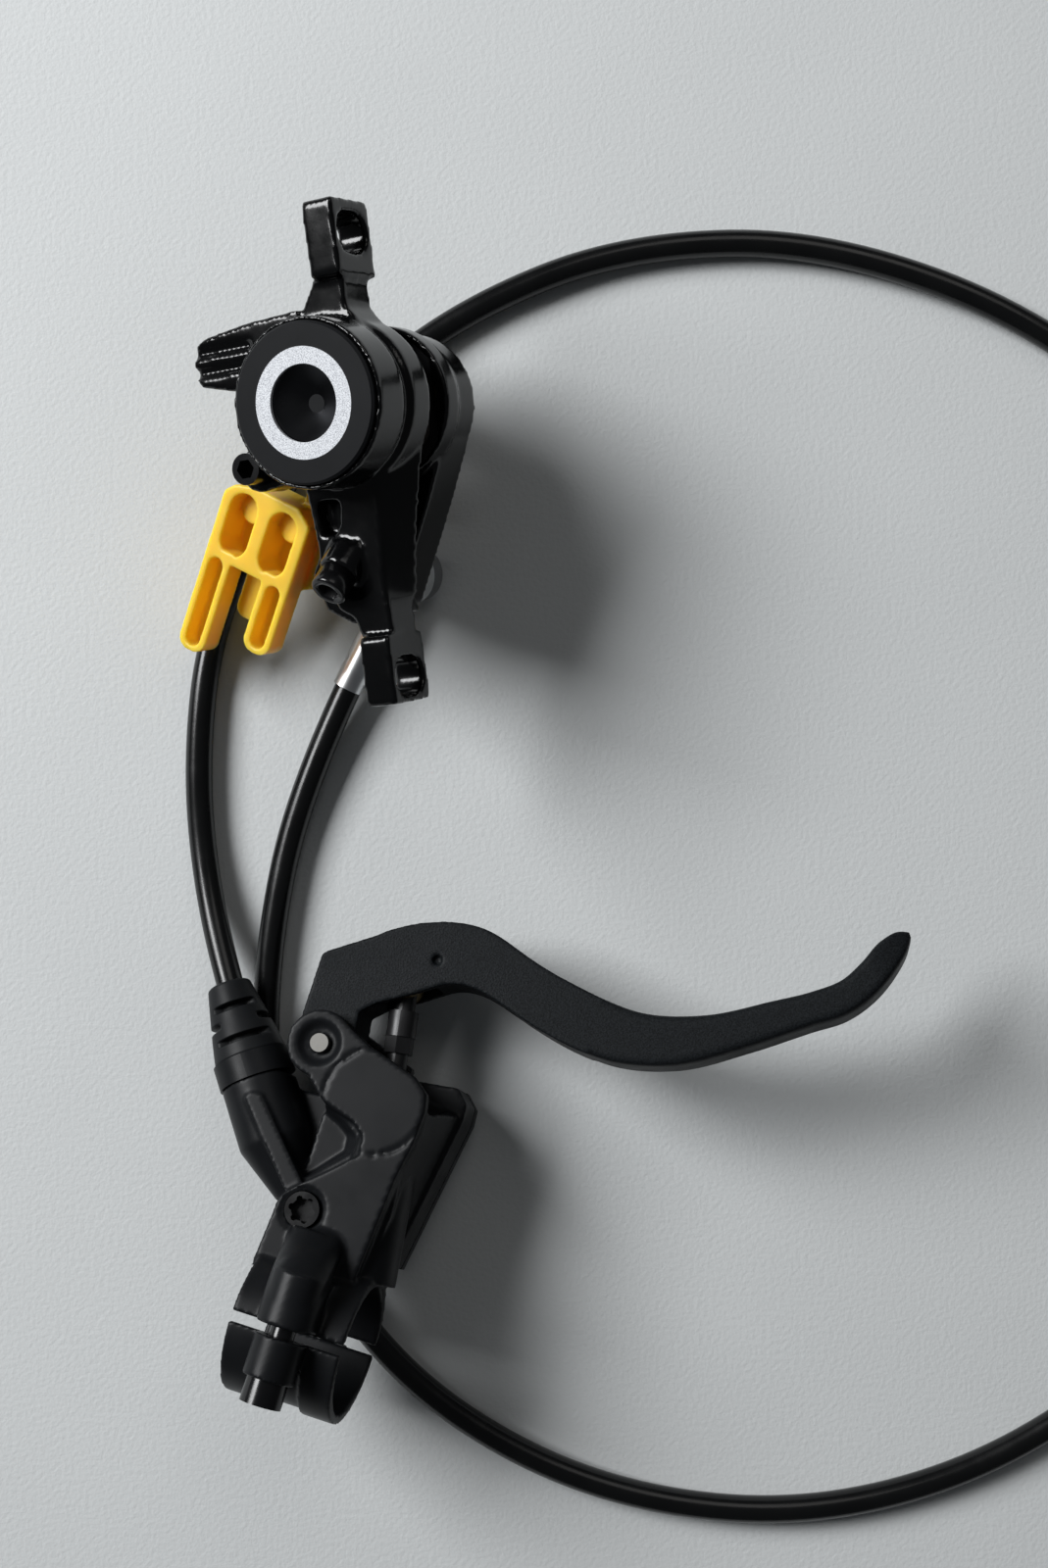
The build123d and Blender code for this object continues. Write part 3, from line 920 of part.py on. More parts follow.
with BuildPart() as brake_hose:
    with BuildLine() as hose_line:
        FilletPolyline(*[tuple(p) for p in hose_points], radius=hose_radii)
    with BuildSketch(Plane(origin=HOSE_START, z_dir=hose_points[1] - hose_points[0])):
        Circle(HOSE_D / 2)
    sweep()
hose_length = sum(edge.length for edge in hose_line.edges())
volume_ratio = brake_hose.part.volume / (pi * HOSE_D**2 / 4 * hose_length)
print("hose length", round(hose_length, 1), "volume ratio", round(volume_ratio, 4))
write(brake_hose.part, "brake_hose")
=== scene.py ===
"""A bicycle's hydraulic disc brake on a pale table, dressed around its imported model.

Lengths in this script are millimetres until a mesh is made, and metres after that.
"""

import json
import logging
from dataclasses import dataclass, field
from enum import Enum
from math import pi
from typing import Callable

import bmesh
import bpy
import numpy as np
from mathutils import Matrix, Vector


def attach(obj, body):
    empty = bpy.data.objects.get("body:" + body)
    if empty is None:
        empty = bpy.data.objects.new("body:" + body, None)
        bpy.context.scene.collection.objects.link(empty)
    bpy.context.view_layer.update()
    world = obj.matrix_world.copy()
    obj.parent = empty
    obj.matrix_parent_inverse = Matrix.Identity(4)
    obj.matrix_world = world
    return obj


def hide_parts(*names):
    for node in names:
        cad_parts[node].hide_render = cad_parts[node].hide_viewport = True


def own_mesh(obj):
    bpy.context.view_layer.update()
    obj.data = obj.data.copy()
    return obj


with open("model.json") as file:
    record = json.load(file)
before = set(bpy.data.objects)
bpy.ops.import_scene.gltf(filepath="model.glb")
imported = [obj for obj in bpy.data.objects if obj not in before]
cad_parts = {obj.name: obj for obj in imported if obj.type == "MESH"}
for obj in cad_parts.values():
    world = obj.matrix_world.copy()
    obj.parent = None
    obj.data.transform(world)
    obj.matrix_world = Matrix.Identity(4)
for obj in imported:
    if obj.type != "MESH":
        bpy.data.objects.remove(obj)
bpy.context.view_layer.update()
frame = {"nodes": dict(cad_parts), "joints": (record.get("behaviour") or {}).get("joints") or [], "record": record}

LOG = logging.getLogger("brake")
MM = 0.001

# Where the caliper and lever lie on the table, as in the part's source
REST = np.array([2.3, -6.84, 0.0])

# Radius of the row of points that closes a turned form at its axis
AXIS_HOLE = 0.02


class Slot(Enum):
    """The record's material slots."""

    CALIPER = "caliper_gloss"
    CAP = "cap_satin"
    RING = "ring_silver"
    HOUSING = "housing_polymer"
    BLADE = "blade_grain"
    SCREW = "screw_black"
    STEEL = "steel"
    GREY_BOLT = "grey_bolt"
    FERRULE = "ferrule_bright"
    HOSE = "hose_black"
    RUBBER = "rubber_black"
    LOCK = "lock_yellow"
    PISTON = "piston_black"
    LINING = "lining_grey"
    MAGNET = "magnet_nickel"
    BRASS = "brass"
    COPPER = "washer_copper"


@dataclass(frozen=True)
class Axes:
    """A right-handed frame in the row's space, in millimetres.

    Args:
        origin: its place.
        x: a direction near its x axis.
        z: its z axis.
    """

    origin: np.ndarray
    x: np.ndarray
    z: np.ndarray

    def matrix(self) -> np.ndarray:
        """Rows are the unit x, y and z axes."""
        z = self.z / np.linalg.norm(self.z)
        x = self.x - z * (self.x @ z)
        x = x / np.linalg.norm(x)
        return np.stack([x, np.cross(z, x), z])

    def place(self, local: np.ndarray) -> np.ndarray:
        """Local points as points of the row's space.

        Args:
            local: an array whose last axis holds x, y and z.

        Returns:
            An array of the same shape.
        """
        return self.origin + np.asarray(local, float) @ self.matrix()

    def turned(self, at: tuple, along: tuple, across: tuple) -> "Axes":
        """A frame at a local point, with z along one local direction and x near another."""
        rows = self.matrix()
        across, along = np.array(across, float) @ rows, np.array(along, float) @ rows
        return Axes(self.place(np.array(at, float)), across, along)

    def mapping(self, nodes: bpy.types.Nodes, links: bpy.types.NodeLinks) -> bpy.types.NodeSocket:
        """Object coordinates seen in this frame, for a pattern that is centred on it.

        Args:
            nodes: the material's nodes.
            links: the material's links.

        Returns:
            The socket of the turned and centred coordinates.
        """
        coords = nodes.new("ShaderNodeTexCoord")
        mapping = nodes.new("ShaderNodeMapping")
        mapping.vector_type = "TEXTURE"
        mapping.inputs["Location"].default_value = tuple(self.origin * MM)
        turn = Matrix(self.matrix().tolist()).transposed().to_euler()
        mapping.inputs["Rotation"].default_value = tuple(turn)
        links.new(coords.outputs["Object"], mapping.inputs["Vector"])
        return mapping.outputs["Vector"]


def mount(name: str) -> dict:
    """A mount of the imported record, by name."""
    return next(m for m in frame["record"]["mounts"] if m["name"] == name)


def joint(name: str) -> dict:
    """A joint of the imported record, by name."""
    return next(j for j in frame["joints"] if j["name"] == name)


CALIPER = Axes(
    np.array(mount("rotor_slot")["pos_m"]) / MM,
    np.array(mount("upper_post_slot")["axis"]),
    np.array(mount("rotor_slot")["axis"]),
)
LOCK = CALIPER.turned((-21.5, -17.0, 0), (0, 0, 1), (0.866, -0.5, 0))
LEVER = Axes(
    np.array(joint("lever_pivot")["pos_m"]) / MM,
    np.array(mount("handlebar_clamp")["axis"]),
    -np.array(joint("lever_pivot")["axis"]),
)


@dataclass(frozen=True)
class Finish:
    """A surface finish, with slow variation, a fine grain and a coat.

    Attributes:
        name: the material's name.
        colour: linear base colour.
        rough: roughness at its smoothest and at its roughest.
        metallic: 0 for plastics and rubber, 1 for bare metal.
        coat: weight of the clear coat.
        specular: strength of the bare surface's own reflection, 0.5 for a smooth plastic.
        grain: size of the surface grain in millimetres.
        relief: height of that grain in millimetres.
        drift: how far the base colour drifts, as a share.
        drift_size: length of that drift in millimetres.
    """

    name: str
    colour: tuple[float, float, float]
    rough: tuple[float, float] = (0.3, 0.4)
    metallic: float = 0.0
    coat: float = 0.0
    specular: float = 0.5
    grain: float = 0.4
    relief: float = 0.01
    drift: float = 0.12
    drift_size: float = 9.0

    def coordinates(self, nodes: bpy.types.Nodes, links: bpy.types.NodeLinks) -> bpy.types.NodeSocket:
        """The coordinates that the finish's textures read: the piece's own."""
        return nodes.new("ShaderNodeTexCoord").outputs["Object"]

    def noise(
        self,
        nodes: bpy.types.Nodes,
        links: bpy.types.NodeLinks,
        coords: bpy.types.NodeSocket,
        size: float,
        detail: float = 3.0,
    ) -> bpy.types.NodeSocket:
        """A noise whose blotches are about size millimetres across.

        Args:
            nodes: the material's nodes.
            links: the material's links.
            coords: where the noise is read.
            size: blotch size in millimetres.
            detail: octaves.

        Returns:
            The noise's value, about 0.2 to 0.8.
        """
        texture = nodes.new("ShaderNodeTexNoise")
        texture.inputs["Scale"].default_value = 1.0 / (size * MM)
        texture.inputs["Detail"].default_value = detail
        links.new(coords, texture.inputs["Vector"])
        return texture.outputs["Fac"]

    def ramp(
        self,
        nodes: bpy.types.Nodes,
        links: bpy.types.NodeLinks,
        value: bpy.types.NodeSocket,
        stops: list[tuple[float, tuple[float, float, float]]],
    ) -> bpy.types.NodeSocket:
        """A colour ramp over a value.

        Args:
            nodes: the material's nodes.
            links: the material's links.
            value: the value that the ramp reads.
            stops: pairs of place and linear colour, two of them.

        Returns:
            The ramp's colour.
        """
        ramp = nodes.new("ShaderNodeValToRGB")
        for stop, (at, colour) in zip(ramp.color_ramp.elements, stops):
            stop.position = at
            stop.color = (*colour, 1.0)
        links.new(value, ramp.inputs["Fac"])
        return ramp.outputs["Color"]

    def height(
        self, nodes: bpy.types.Nodes, links: bpy.types.NodeLinks, coords: bpy.types.NodeSocket
    ) -> bpy.types.NodeSocket:
        """The value whose bumps show as the surface's grain."""
        return self.noise(nodes, links, coords, self.grain, 2.0)

    def paint(
        self, nodes: bpy.types.Nodes, links: bpy.types.NodeLinks, coords: bpy.types.NodeSocket
    ) -> bpy.types.NodeSocket:
        """The base colour, drifting slowly over the surface."""
        low = tuple(c * (1 - self.drift) for c in self.colour)
        high = tuple(min(1.0, c * (1 + self.drift)) for c in self.colour)
        return self.ramp(
            nodes, links, self.noise(nodes, links, coords, self.drift_size), [(0.35, low), (0.65, high)]
        )

    def finish_shader(self, shader: bpy.types.Node) -> None:
        """Set what is the same all over the surface."""
        shader.inputs["Metallic"].default_value = self.metallic
        shader.inputs["Coat Weight"].default_value = self.coat
        shader.inputs["Coat Roughness"].default_value = 0.08
        shader.inputs["Specular IOR Level"].default_value = self.specular

    def material(self) -> bpy.types.Material:
        """Build the material once, and give it again after that.

        Returns:
            The node-based material.
        """
        known = bpy.data.materials.get(self.name)
        if known is not None:
            return known
        material = bpy.data.materials.new(self.name)
        material.use_nodes = True
        nodes, links = material.node_tree.nodes, material.node_tree.links
        shader = nodes["Principled BSDF"]
        coords = self.coordinates(nodes, links)
        links.new(self.paint(nodes, links, coords), shader.inputs["Base Color"])
        worn = self.ramp(
            nodes,
            links,
            self.noise(nodes, links, coords, self.drift_size * 0.6),
            [(0.3, (self.rough[0],) * 3), (0.7, (self.rough[1],) * 3)],
        )
        links.new(worn, shader.inputs["Roughness"])
        bump = nodes.new("ShaderNodeBump")
        bump.inputs["Distance"].default_value = self.relief * MM
        links.new(self.height(nodes, links, coords), bump.inputs["Height"])
        links.new(bump.outputs["Normal"], shader.inputs["Normal"])
        self.finish_shader(shader)
        return material


@dataclass(frozen=True)
class LeatherGrain(Finish):
    """A moulded grain of small rounded cells."""

    def height(
        self, nodes: bpy.types.Nodes, links: bpy.types.NodeLinks, coords: bpy.types.NodeSocket
    ) -> bpy.types.NodeSocket:
        """Distance to the nearest of many scattered points, so that each cell is a small dome."""
        cells = nodes.new("ShaderNodeTexVoronoi")
        cells.feature = "SMOOTH_F1"
        cells.inputs["Scale"].default_value = 1.0 / (self.grain * MM)
        cells.inputs["Smoothness"].default_value = 0.35
        links.new(coords, cells.inputs["Vector"])
        return cells.outputs["Distance"]

    def paint(
        self, nodes: bpy.types.Nodes, links: bpy.types.NodeLinks, coords: bpy.types.NodeSocket
    ) -> bpy.types.NodeSocket:
        """A fine dark and light speckle, from a noise of its own."""
        low = tuple(c * 0.62 for c in self.colour)
        high = tuple(c * 1.45 for c in self.colour)
        return self.ramp(
            nodes, links, self.noise(nodes, links, coords, self.grain * 0.8, 1.0), [(0.36, low), (0.64, high)]
        )


@dataclass(frozen=True)
class Turned(Finish):
    """Fine rings left by a lathe round an axis.

    Attributes:
        axes: the frame whose z axis the rings go round.
    """

    axes: Axes = field(default_factory=lambda: CALIPER)

    def coordinates(self, nodes: bpy.types.Nodes, links: bpy.types.NodeLinks) -> bpy.types.NodeSocket:
        """The piece's own coordinates, centred on the turning axis."""
        return self.axes.mapping(nodes, links)

    def height(
        self, nodes: bpy.types.Nodes, links: bpy.types.NodeLinks, coords: bpy.types.NodeSocket
    ) -> bpy.types.NodeSocket:
        """Rings round z, a grain's width apart."""
        rings = nodes.new("ShaderNodeTexWave")
        rings.wave_type = "RINGS"
        rings.rings_direction = "Z"
        rings.inputs["Scale"].default_value = 1.0 / (self.grain * MM * pi)
        rings.inputs["Distortion"].default_value = 0.4
        links.new(coords, rings.inputs["Vector"])
        return rings.outputs["Fac"]


@dataclass(frozen=True)
class Faceplate(Turned):
    """A face that a lathe left with a radial sheen, stretched across its rings."""

    def finish_shader(self, shader: bpy.types.Node) -> None:
        """Stretch the reflection round the axis, along the piece's turning map."""
        super().finish_shader(shader)
        shader.inputs["Anisotropic"].default_value = 0.9
        tree = shader.id_data
        tangent = tree.nodes.new("ShaderNodeTangent")
        tangent.direction_type = "UV_MAP"
        tangent.uv_map = "turning"
        tree.links.new(tangent.outputs["Tangent"], shader.inputs["Tangent"])


@dataclass(frozen=True)
class Speckled(Finish):
    """A pale face with fine bright and dull flecks.

    Attributes:
        fleck: linear colour of the dull flecks.
    """

    fleck: tuple[float, float, float] = (0.35, 0.36, 0.39)

    def paint(
        self, nodes: bpy.types.Nodes, links: bpy.types.NodeLinks, coords: bpy.types.NodeSocket
    ) -> bpy.types.NodeSocket:
        """Flecks from a fine noise, between the dull and the bright colour."""
        return self.ramp(
            nodes,
            links,
            self.noise(nodes, links, coords, self.grain, 1.0),
            [(0.38, self.fleck), (0.56, self.colour)],
        )


@dataclass(frozen=True)
class Glowing(Finish):
    """A coloured plastic that lets some light into it.

    Attributes:
        depth: how far light goes in, in millimetres.
    """

    depth: float = 3.0

    def finish_shader(self, shader: bpy.types.Node) -> None:
        """Add light that scatters under the surface."""
        super().finish_shader(shader)
        shader.inputs["Subsurface Weight"].default_value = 1.0
        shader.inputs["Subsurface Radius"].default_value = (1.0, 0.9, 0.2)
        shader.inputs["Subsurface Scale"].default_value = self.depth * MM


FINISHES = {
    Slot.CALIPER: Finish(
        "gloss_black_forging",
        (0.002, 0.0021, 0.0023),
        (0.12, 0.2),
        coat=0.2,
        specular=0.3,
        grain=1.6,
        relief=0.01,
    ),
    Slot.CAP: Turned(
        "satin_black_turning", (0.0085, 0.009, 0.01), (0.4, 0.5), specular=0.08, grain=0.18, relief=0.0012
    ),
    Slot.RING: Speckled(
        "speckled_silver", (0.7, 0.72, 0.75), (0.45, 0.56), specular=0.2, grain=0.16, relief=0.003
    ),
    Slot.HOUSING: Finish(
        "satin_black_moulding",
        (0.0068, 0.0074, 0.0084),
        (0.32, 0.42),
        specular=0.13,
        grain=0.22,
        relief=0.006,
    ),
    Slot.BLADE: LeatherGrain(
        "grained_black_moulding",
        (0.0085, 0.0098, 0.011),
        (0.42, 0.54),
        specular=0.07,
        grain=0.34,
        relief=0.025,
    ),
    Slot.SCREW: Finish(
        "black_oxide", (0.004, 0.004, 0.0045), (0.16, 0.26), specular=0.4, grain=0.3, relief=0.003
    ),
    Slot.STEEL: Turned(
        "turned_steel", (0.16, 0.155, 0.145), (0.5, 0.62), metallic=0.6, grain=0.3, relief=0.002, axes=LEVER
    ),
    Slot.GREY_BOLT: Finish(
        "zinc_grey", (0.26, 0.26, 0.27), (0.32, 0.46), metallic=0.9, grain=0.3, relief=0.004
    ),
    Slot.FERRULE: Finish(
        "bright_aluminium", (0.8, 0.81, 0.82), (0.26, 0.36), metallic=1.0, grain=0.5, relief=0.004
    ),
    Slot.HOSE: Finish(
        "glossy_hose", (0.0036, 0.0038, 0.004), (0.2, 0.28), coat=0.1, specular=0.35, grain=0.8, relief=0.006
    ),
    Slot.RUBBER: Finish(
        "moulded_rubber", (0.008, 0.0088, 0.0098), (0.4, 0.52), specular=0.14, grain=0.25, relief=0.008
    ),
    Slot.LOCK: Glowing(
        "yellow_moulding", (0.8, 0.52, 0.055), (0.3, 0.4), specular=0.25, grain=2.2, relief=0.012, drift=0.03
    ),
    Slot.PISTON: Finish("moulded_piston", (0.05, 0.05, 0.053), (0.4, 0.5)),
    Slot.LINING: Finish(
        "friction_compound",
        (0.035, 0.03, 0.026),
        (0.75, 0.9),
        grain=0.3,
        relief=0.03,
        drift=0.4,
        drift_size=0.5,
    ),
    Slot.MAGNET: Finish("nickel_plate", (0.62, 0.6, 0.56), (0.16, 0.22), metallic=1.0),
    Slot.BRASS: Finish("turned_brass", (0.3, 0.22, 0.1), (0.3, 0.4), metallic=1.0),
    Slot.COPPER: Finish("copper_washer", (0.66, 0.34, 0.2), (0.3, 0.42), metallic=1.0),
}

RECESS = Faceplate(
    "turned_recess", (0.03, 0.031, 0.034), (0.26, 0.34), metallic=0.9, grain=0.3, relief=0.0006
)

# Steel pieces that are coated dark on the real brake, against their slot's bare finish
BLACK_COAT = Finish("black_coated_steel", (0.012, 0.012, 0.013), (0.32, 0.46), metallic=0.3, relief=0.006)
COATED = ("outer_pad_plate", "inner_pad_plate", "push_rod", "reach_adjuster")


def mesh_from_grid(name: str, points: np.ndarray, wrap: bool = True, ends: bool = True) -> bpy.types.Mesh:
    """A mesh over a grid of points, in millimetres.

    Quads join each point to the next along both directions. With wrap the second direction
    closes on itself, and with ends the first and last rows are closed by a polygon.

    Args:
        name: the mesh's name.
        points: an array of rows by columns by 3.
        wrap: whether each row is a closed ring.
        ends: whether the open ends are capped.

    Returns:
        The mesh, in metres.
    """
    rows, columns = points.shape[:2]
    index = np.arange(rows * columns).reshape(rows, columns)
    right = np.roll(index, -1, axis=1) if wrap else index[:, 1:]
    left = index if wrap else index[:, :-1]
    quads = np.stack([left[:-1], right[:-1], right[1:], left[1:]], axis=-1).reshape(-1, 4)
    mesh = bpy.data.meshes.new(name)
    faces = quads.tolist()
    if wrap and ends:
        faces += [index[0, ::-1].tolist(), index[-1].tolist()]
    mesh.from_pydata((points.reshape(-1, 3) * MM).tolist(), [], faces)
    mesh.polygons.foreach_set("use_smooth", np.ones(len(mesh.polygons), bool))
    shape = bmesh.new()
    shape.from_mesh(mesh)
    bmesh.ops.recalc_face_normals(shape, faces=shape.faces)
    shape.to_mesh(mesh)
    shape.free()
    return mesh


def turning_map(mesh: bpy.types.Mesh, columns: int) -> None:
    """Add a UV map whose first value runs round a wrapped grid and whose second runs along it.

    A corner's value round is its column over the number of columns, and the last column's far
    corners get 1 instead of 0.

    Args:
        mesh: a mesh made by mesh_from_grid.
        columns: how many columns the grid has.
    """
    corners = np.empty(len(mesh.loops), int)
    mesh.loops.foreach_get("vertex_index", corners)
    column, row = corners % columns, corners // columns
    start, size = np.empty(len(mesh.polygons), int), np.empty(len(mesh.polygons), int)
    mesh.polygons.foreach_get("loop_start", start)
    mesh.polygons.foreach_get("loop_total", size)
    face = np.repeat(np.arange(len(start)), size)
    last = np.zeros(len(start), bool)
    np.logical_or.at(last, face, column == columns - 1)
    column = np.where((column == 0) & last[face] & (size[face] == 4), columns, column)
    layer = mesh.uv_layers.new(name="turning")
    layer.data.foreach_set("uv", np.column_stack([column / columns, row / row.max()]).ravel())


def show(name: str, mesh: bpy.types.ID, body: str, slot: Slot, *nodes: str) -> bpy.types.Object:
    """Add a piece to the scene, dressed, riding on its body and standing for its nodes.

    Args:
        name: the piece's name.
        mesh: its mesh or curve, already in place.
        body: the body that it moves with.
        slot: the slot that it takes its finish from.
        nodes: the solids that it replaces.

    Returns:
        The new object.
    """
    piece = bpy.data.objects.new(name, mesh)
    bpy.context.scene.collection.objects.link(piece)
    mesh.materials.append(FINISHES[slot].material())
    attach(piece, body)
    if nodes:
        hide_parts(*nodes)
    LOG.info("%s rides on %s", name, body)
    return piece


@dataclass
class SoftShell:
    """A casting or moulding with the solid's own form and softened edges.

    Attributes:
        node: the solid that it is made from and stands for.
        body: the body that it moves with.
        slot: its finish.
        voxel: size of the new faces in millimetres.
        passes: rounds of smoothing, each of which widens the edges' radius a little.
        joined: closed forms that are merged with it.
        cut: a point and a direction, past which the solid is left off, in millimetres.
        reshape: moves the remeshed vertices, from millimetres to millimetres.
    """

    node: str
    body: str
    slot: Slot
    voxel: float = 0.45
    passes: int = 4
    joined: tuple[bpy.types.Mesh, ...] = ()
    cut: tuple[np.ndarray, np.ndarray] | None = None
    reshape: Callable[[np.ndarray], np.ndarray] | None = None

    def applied(self, draft: bpy.types.Object) -> bpy.types.Mesh:
        """The draft's mesh with its modifiers applied."""
        graph = bpy.context.evaluated_depsgraph_get()
        return bpy.data.meshes.new_from_object(draft.evaluated_get(graph))

    def build(self) -> bpy.types.Object:
        """Merge a copy of the solid's mesh, join what belongs to it, remesh it and smooth it.

        Returns:
            The softened piece.
        """
        mesh = frame["nodes"][self.node].data.copy()
        shape = bmesh.new()
        shape.from_mesh(mesh)
        bmesh.ops.remove_doubles(shape, verts=shape.verts, dist=1e-6)
        if self.cut is not None:
            at, along = self.cut
            whole = shape.verts[:] + shape.edges[:] + shape.faces[:]
            split = bmesh.ops.bisect_plane(
                shape, geom=whole, plane_co=tuple(at * MM), plane_no=tuple(along), clear_outer=True
            )
            rim = [edge for edge in split["geom_cut"] if isinstance(edge, bmesh.types.BMEdge)]
            bmesh.ops.contextual_create(shape, geom=rim)
        for extra in self.joined:
            shape.from_mesh(extra)
        shape.to_mesh(mesh)
        shape.free()
        mesh.materials.clear()
        draft = bpy.data.objects.new(self.node + "_draft", mesh)
        bpy.context.scene.collection.objects.link(draft)
        remesh = draft.modifiers.new("even_faces", "REMESH")
        remesh.mode = "VOXEL"
        remesh.voxel_size = self.voxel * MM
        made = self.applied(draft)
        if self.reshape is not None:
            points = np.empty(3 * len(made.vertices), np.float32)
            made.vertices.foreach_get("co", points)
            moved = self.reshape(points.reshape(-1, 3).astype(float) / MM) * MM
            made.vertices.foreach_set("co", moved.astype(np.float32).ravel())
        draft.modifiers.clear()
        draft.data = made
        smooth = draft.modifiers.new("soft_edges", "SMOOTH")
        smooth.factor = 0.5
        smooth.iterations = self.passes
        made = self.applied(draft)
        bpy.data.objects.remove(draft)
        made.polygons.foreach_set("use_smooth", np.ones(len(made.polygons), bool))
        made.name = self.node + "_shell"
        LOG.info("%s has %d faces", made.name, len(made.polygons))
        return show(made.name, made, self.body, self.slot, self.node)


@dataclass
class Hose:
    """The brake hose, one loop over the table from the boot to the ferrule.

    Attributes:
        diameter: outer diameter in millimetres.
        length: real length in millimetres; not used.
        height: of its centre line where it lies on the table.
        port_at: the hose port's place in the lever's frame.
        port_along: the direction in which the hose leaves it.
        start_in: where the hose starts along the port.
        boot_end: how far along the port it runs straight.
        ferrule_length: of the crimped ferrule.
        ferrule_end: where the ferrule ends, on the table's own scale.
        last_corner: the last point before it, on the same scale.
        route: the points on the table between them, on the same scale.
    """

    diameter: float = 5.0
    length: float = 794.6
    height: float = 2.55
    port_at: tuple = (-11.1, -9.2, 0.0)
    port_along: tuple = (-0.59, 0.807, 0.0)
    start_in: float = -0.6
    boot_end: float = 4.4 + 14.2 + 1.0
    ferrule_length: float = 14.0
    ferrule_end: tuple = (-32.6, 17.7, 4.6)
    last_corner: tuple = (-41.0, 1.6, 2.55)
    route: tuple = (
        (-59.2, -15.8),
        (-60.6, 4.7),
        (-58.2, 27.6),
        (-48.4, 50.8),
        (-32.4, 71.4),
        (-10.7, 88.0),
        (18.5, 99.6),
        (55.9, 100.6),
        (98.3, 84.6),
        (134.5, 51.8),
        (154.0, 5.3),
        (153.1, -46.0),
        (132.0, -90.3),
        (96.4, -121.9),
        (56.7, -135.6),
        (17.3, -132.4),
        (-15.8, -116.0),
        (-37.1, -91.8),
        (-47.4, -62.1),
        (-48.0, -32.6),
    )

    def port(self) -> Axes:
        """The frame of the housing's hose port, z out along the hose."""
        return LEVER.turned(self.port_at, self.port_along, (0, 0, 1))

    def points(self) -> np.ndarray:
        """The route's points, as in the part's source, in millimetres."""
        port = self.port()
        end = np.array(self.ferrule_end) - REST
        corner = np.array(self.last_corner) - REST
        way = (end - corner) / np.linalg.norm(end - corner)
        flat = np.array([(x, y, self.height) for x, y in self.route]) - REST
        return np.vstack(
            [
                port.place([0, 0, self.start_in]),
                port.place([0, 0, self.boot_end]),
                flat,
                corner,
                end + way * (self.ferrule_length - 2.2),
            ]
        )

    def build(self) -> bpy.types.Object:
        """A smooth spline with the route's points as its control points.

        Returns:
            The hose.
        """
        points = self.points() * MM
        curve = bpy.data.curves.new("hose_line", "CURVE")
        curve.dimensions = "3D"
        curve.bevel_depth = self.diameter / 2 * MM
        curve.bevel_resolution = 6
        curve.resolution_u = 14
        curve.use_fill_caps = True
        spline = curve.splines.new("NURBS")
        spline.points.add(len(points) - 1)
        spline.points.foreach_set("co", np.hstack([points, np.ones((len(points), 1))]).ravel())
        spline.order_u = 3
        spline.use_endpoint_u = True
        hose = show("hose", curve, "brake", Slot.HOSE, "brake_hose")
        return hose


@dataclass
class Boot:
    """The rubber boot, a tapered sleeve with slots that let it bend with the hose.

    Attributes:
        start: where it begins along the port, in millimetres.
        length: its length.
        base: radius at the collar.
        tip: radius where the hose leaves it.
        bore: radius of the hole.
        slots: pairs of place along it and angle round it, in millimetres and radians.
        slot_width: of a slot along the boot.
        slot_reach: half the angle that a slot spans.
        slot_depth: how deep a slot goes.
        edge: how far from each end its rounding begins.
    """

    start: float = 4.4
    length: float = 14.2
    base: float = 6.6
    tip: float = 3.9
    bore: float = 2.55
    slots: tuple = (
        (3.2, 0.2),
        (3.2, 0.2 + pi),
        (6.4, 0.2 + pi / 2),
        (6.4, 0.2 - pi / 2),
        (9.4, 0.2),
        (9.4, 0.2 + pi),
    )
    slot_width: float = 1.3
    slot_reach: float = 0.9
    slot_depth: float = 1.7
    edge: float = 0.45

    def build(self, port: Axes) -> bpy.types.Object:
        """A surface of revolution whose radius dips in each slot.

        The radius at length t is base + (tip - base)(t / length)^1.15. A slot takes slot_depth
        off it, times a ramp of the distance to the slot along t, times one round the angle.

        Args:
            port: the port's frame.

        Returns:
            The boot.
        """
        along = np.linspace(0.0, self.length, 96)
        angle = np.linspace(0.0, 2 * pi, 128, endpoint=False)
        t, a = np.meshgrid(along, angle, indexing="ij")
        radius = self.base + (self.tip - self.base) * (t / self.length) ** 1.15
        for slot_at, slot_angle in self.slots:
            off = np.abs(t - slot_at) / (self.slot_width / 2)
            round_off = np.abs((a - slot_angle + pi) % (2 * pi) - pi) / self.slot_reach
            dip = np.clip(2.6 * (1 - off), 0, 1) * np.clip(4.0 * (1 - round_off), 0, 1)
            radius = radius - self.slot_depth * dip
        near = np.clip(self.edge - t, 0, self.edge)
        far = np.clip(t - self.length + self.edge, 0, self.edge)
        radius = radius - near**2 - far**2 * 1.6
        outer = np.stack([radius * np.cos(a), radius * np.sin(a), self.start + t], axis=-1)
        ring = np.stack([np.cos(angle), np.sin(angle)], axis=-1) * self.bore
        inner_top = np.column_stack([ring, np.full(len(ring), self.start + self.length)])
        inner_low = np.column_stack([ring, np.full(len(ring), self.start)])
        grid = np.concatenate([outer, inner_top[None], inner_low[None], outer[:1]])
        mesh = mesh_from_grid("boot", port.place(grid), ends=False)
        return show("boot", mesh, "brake", Slot.RUBBER, "hose_boot")


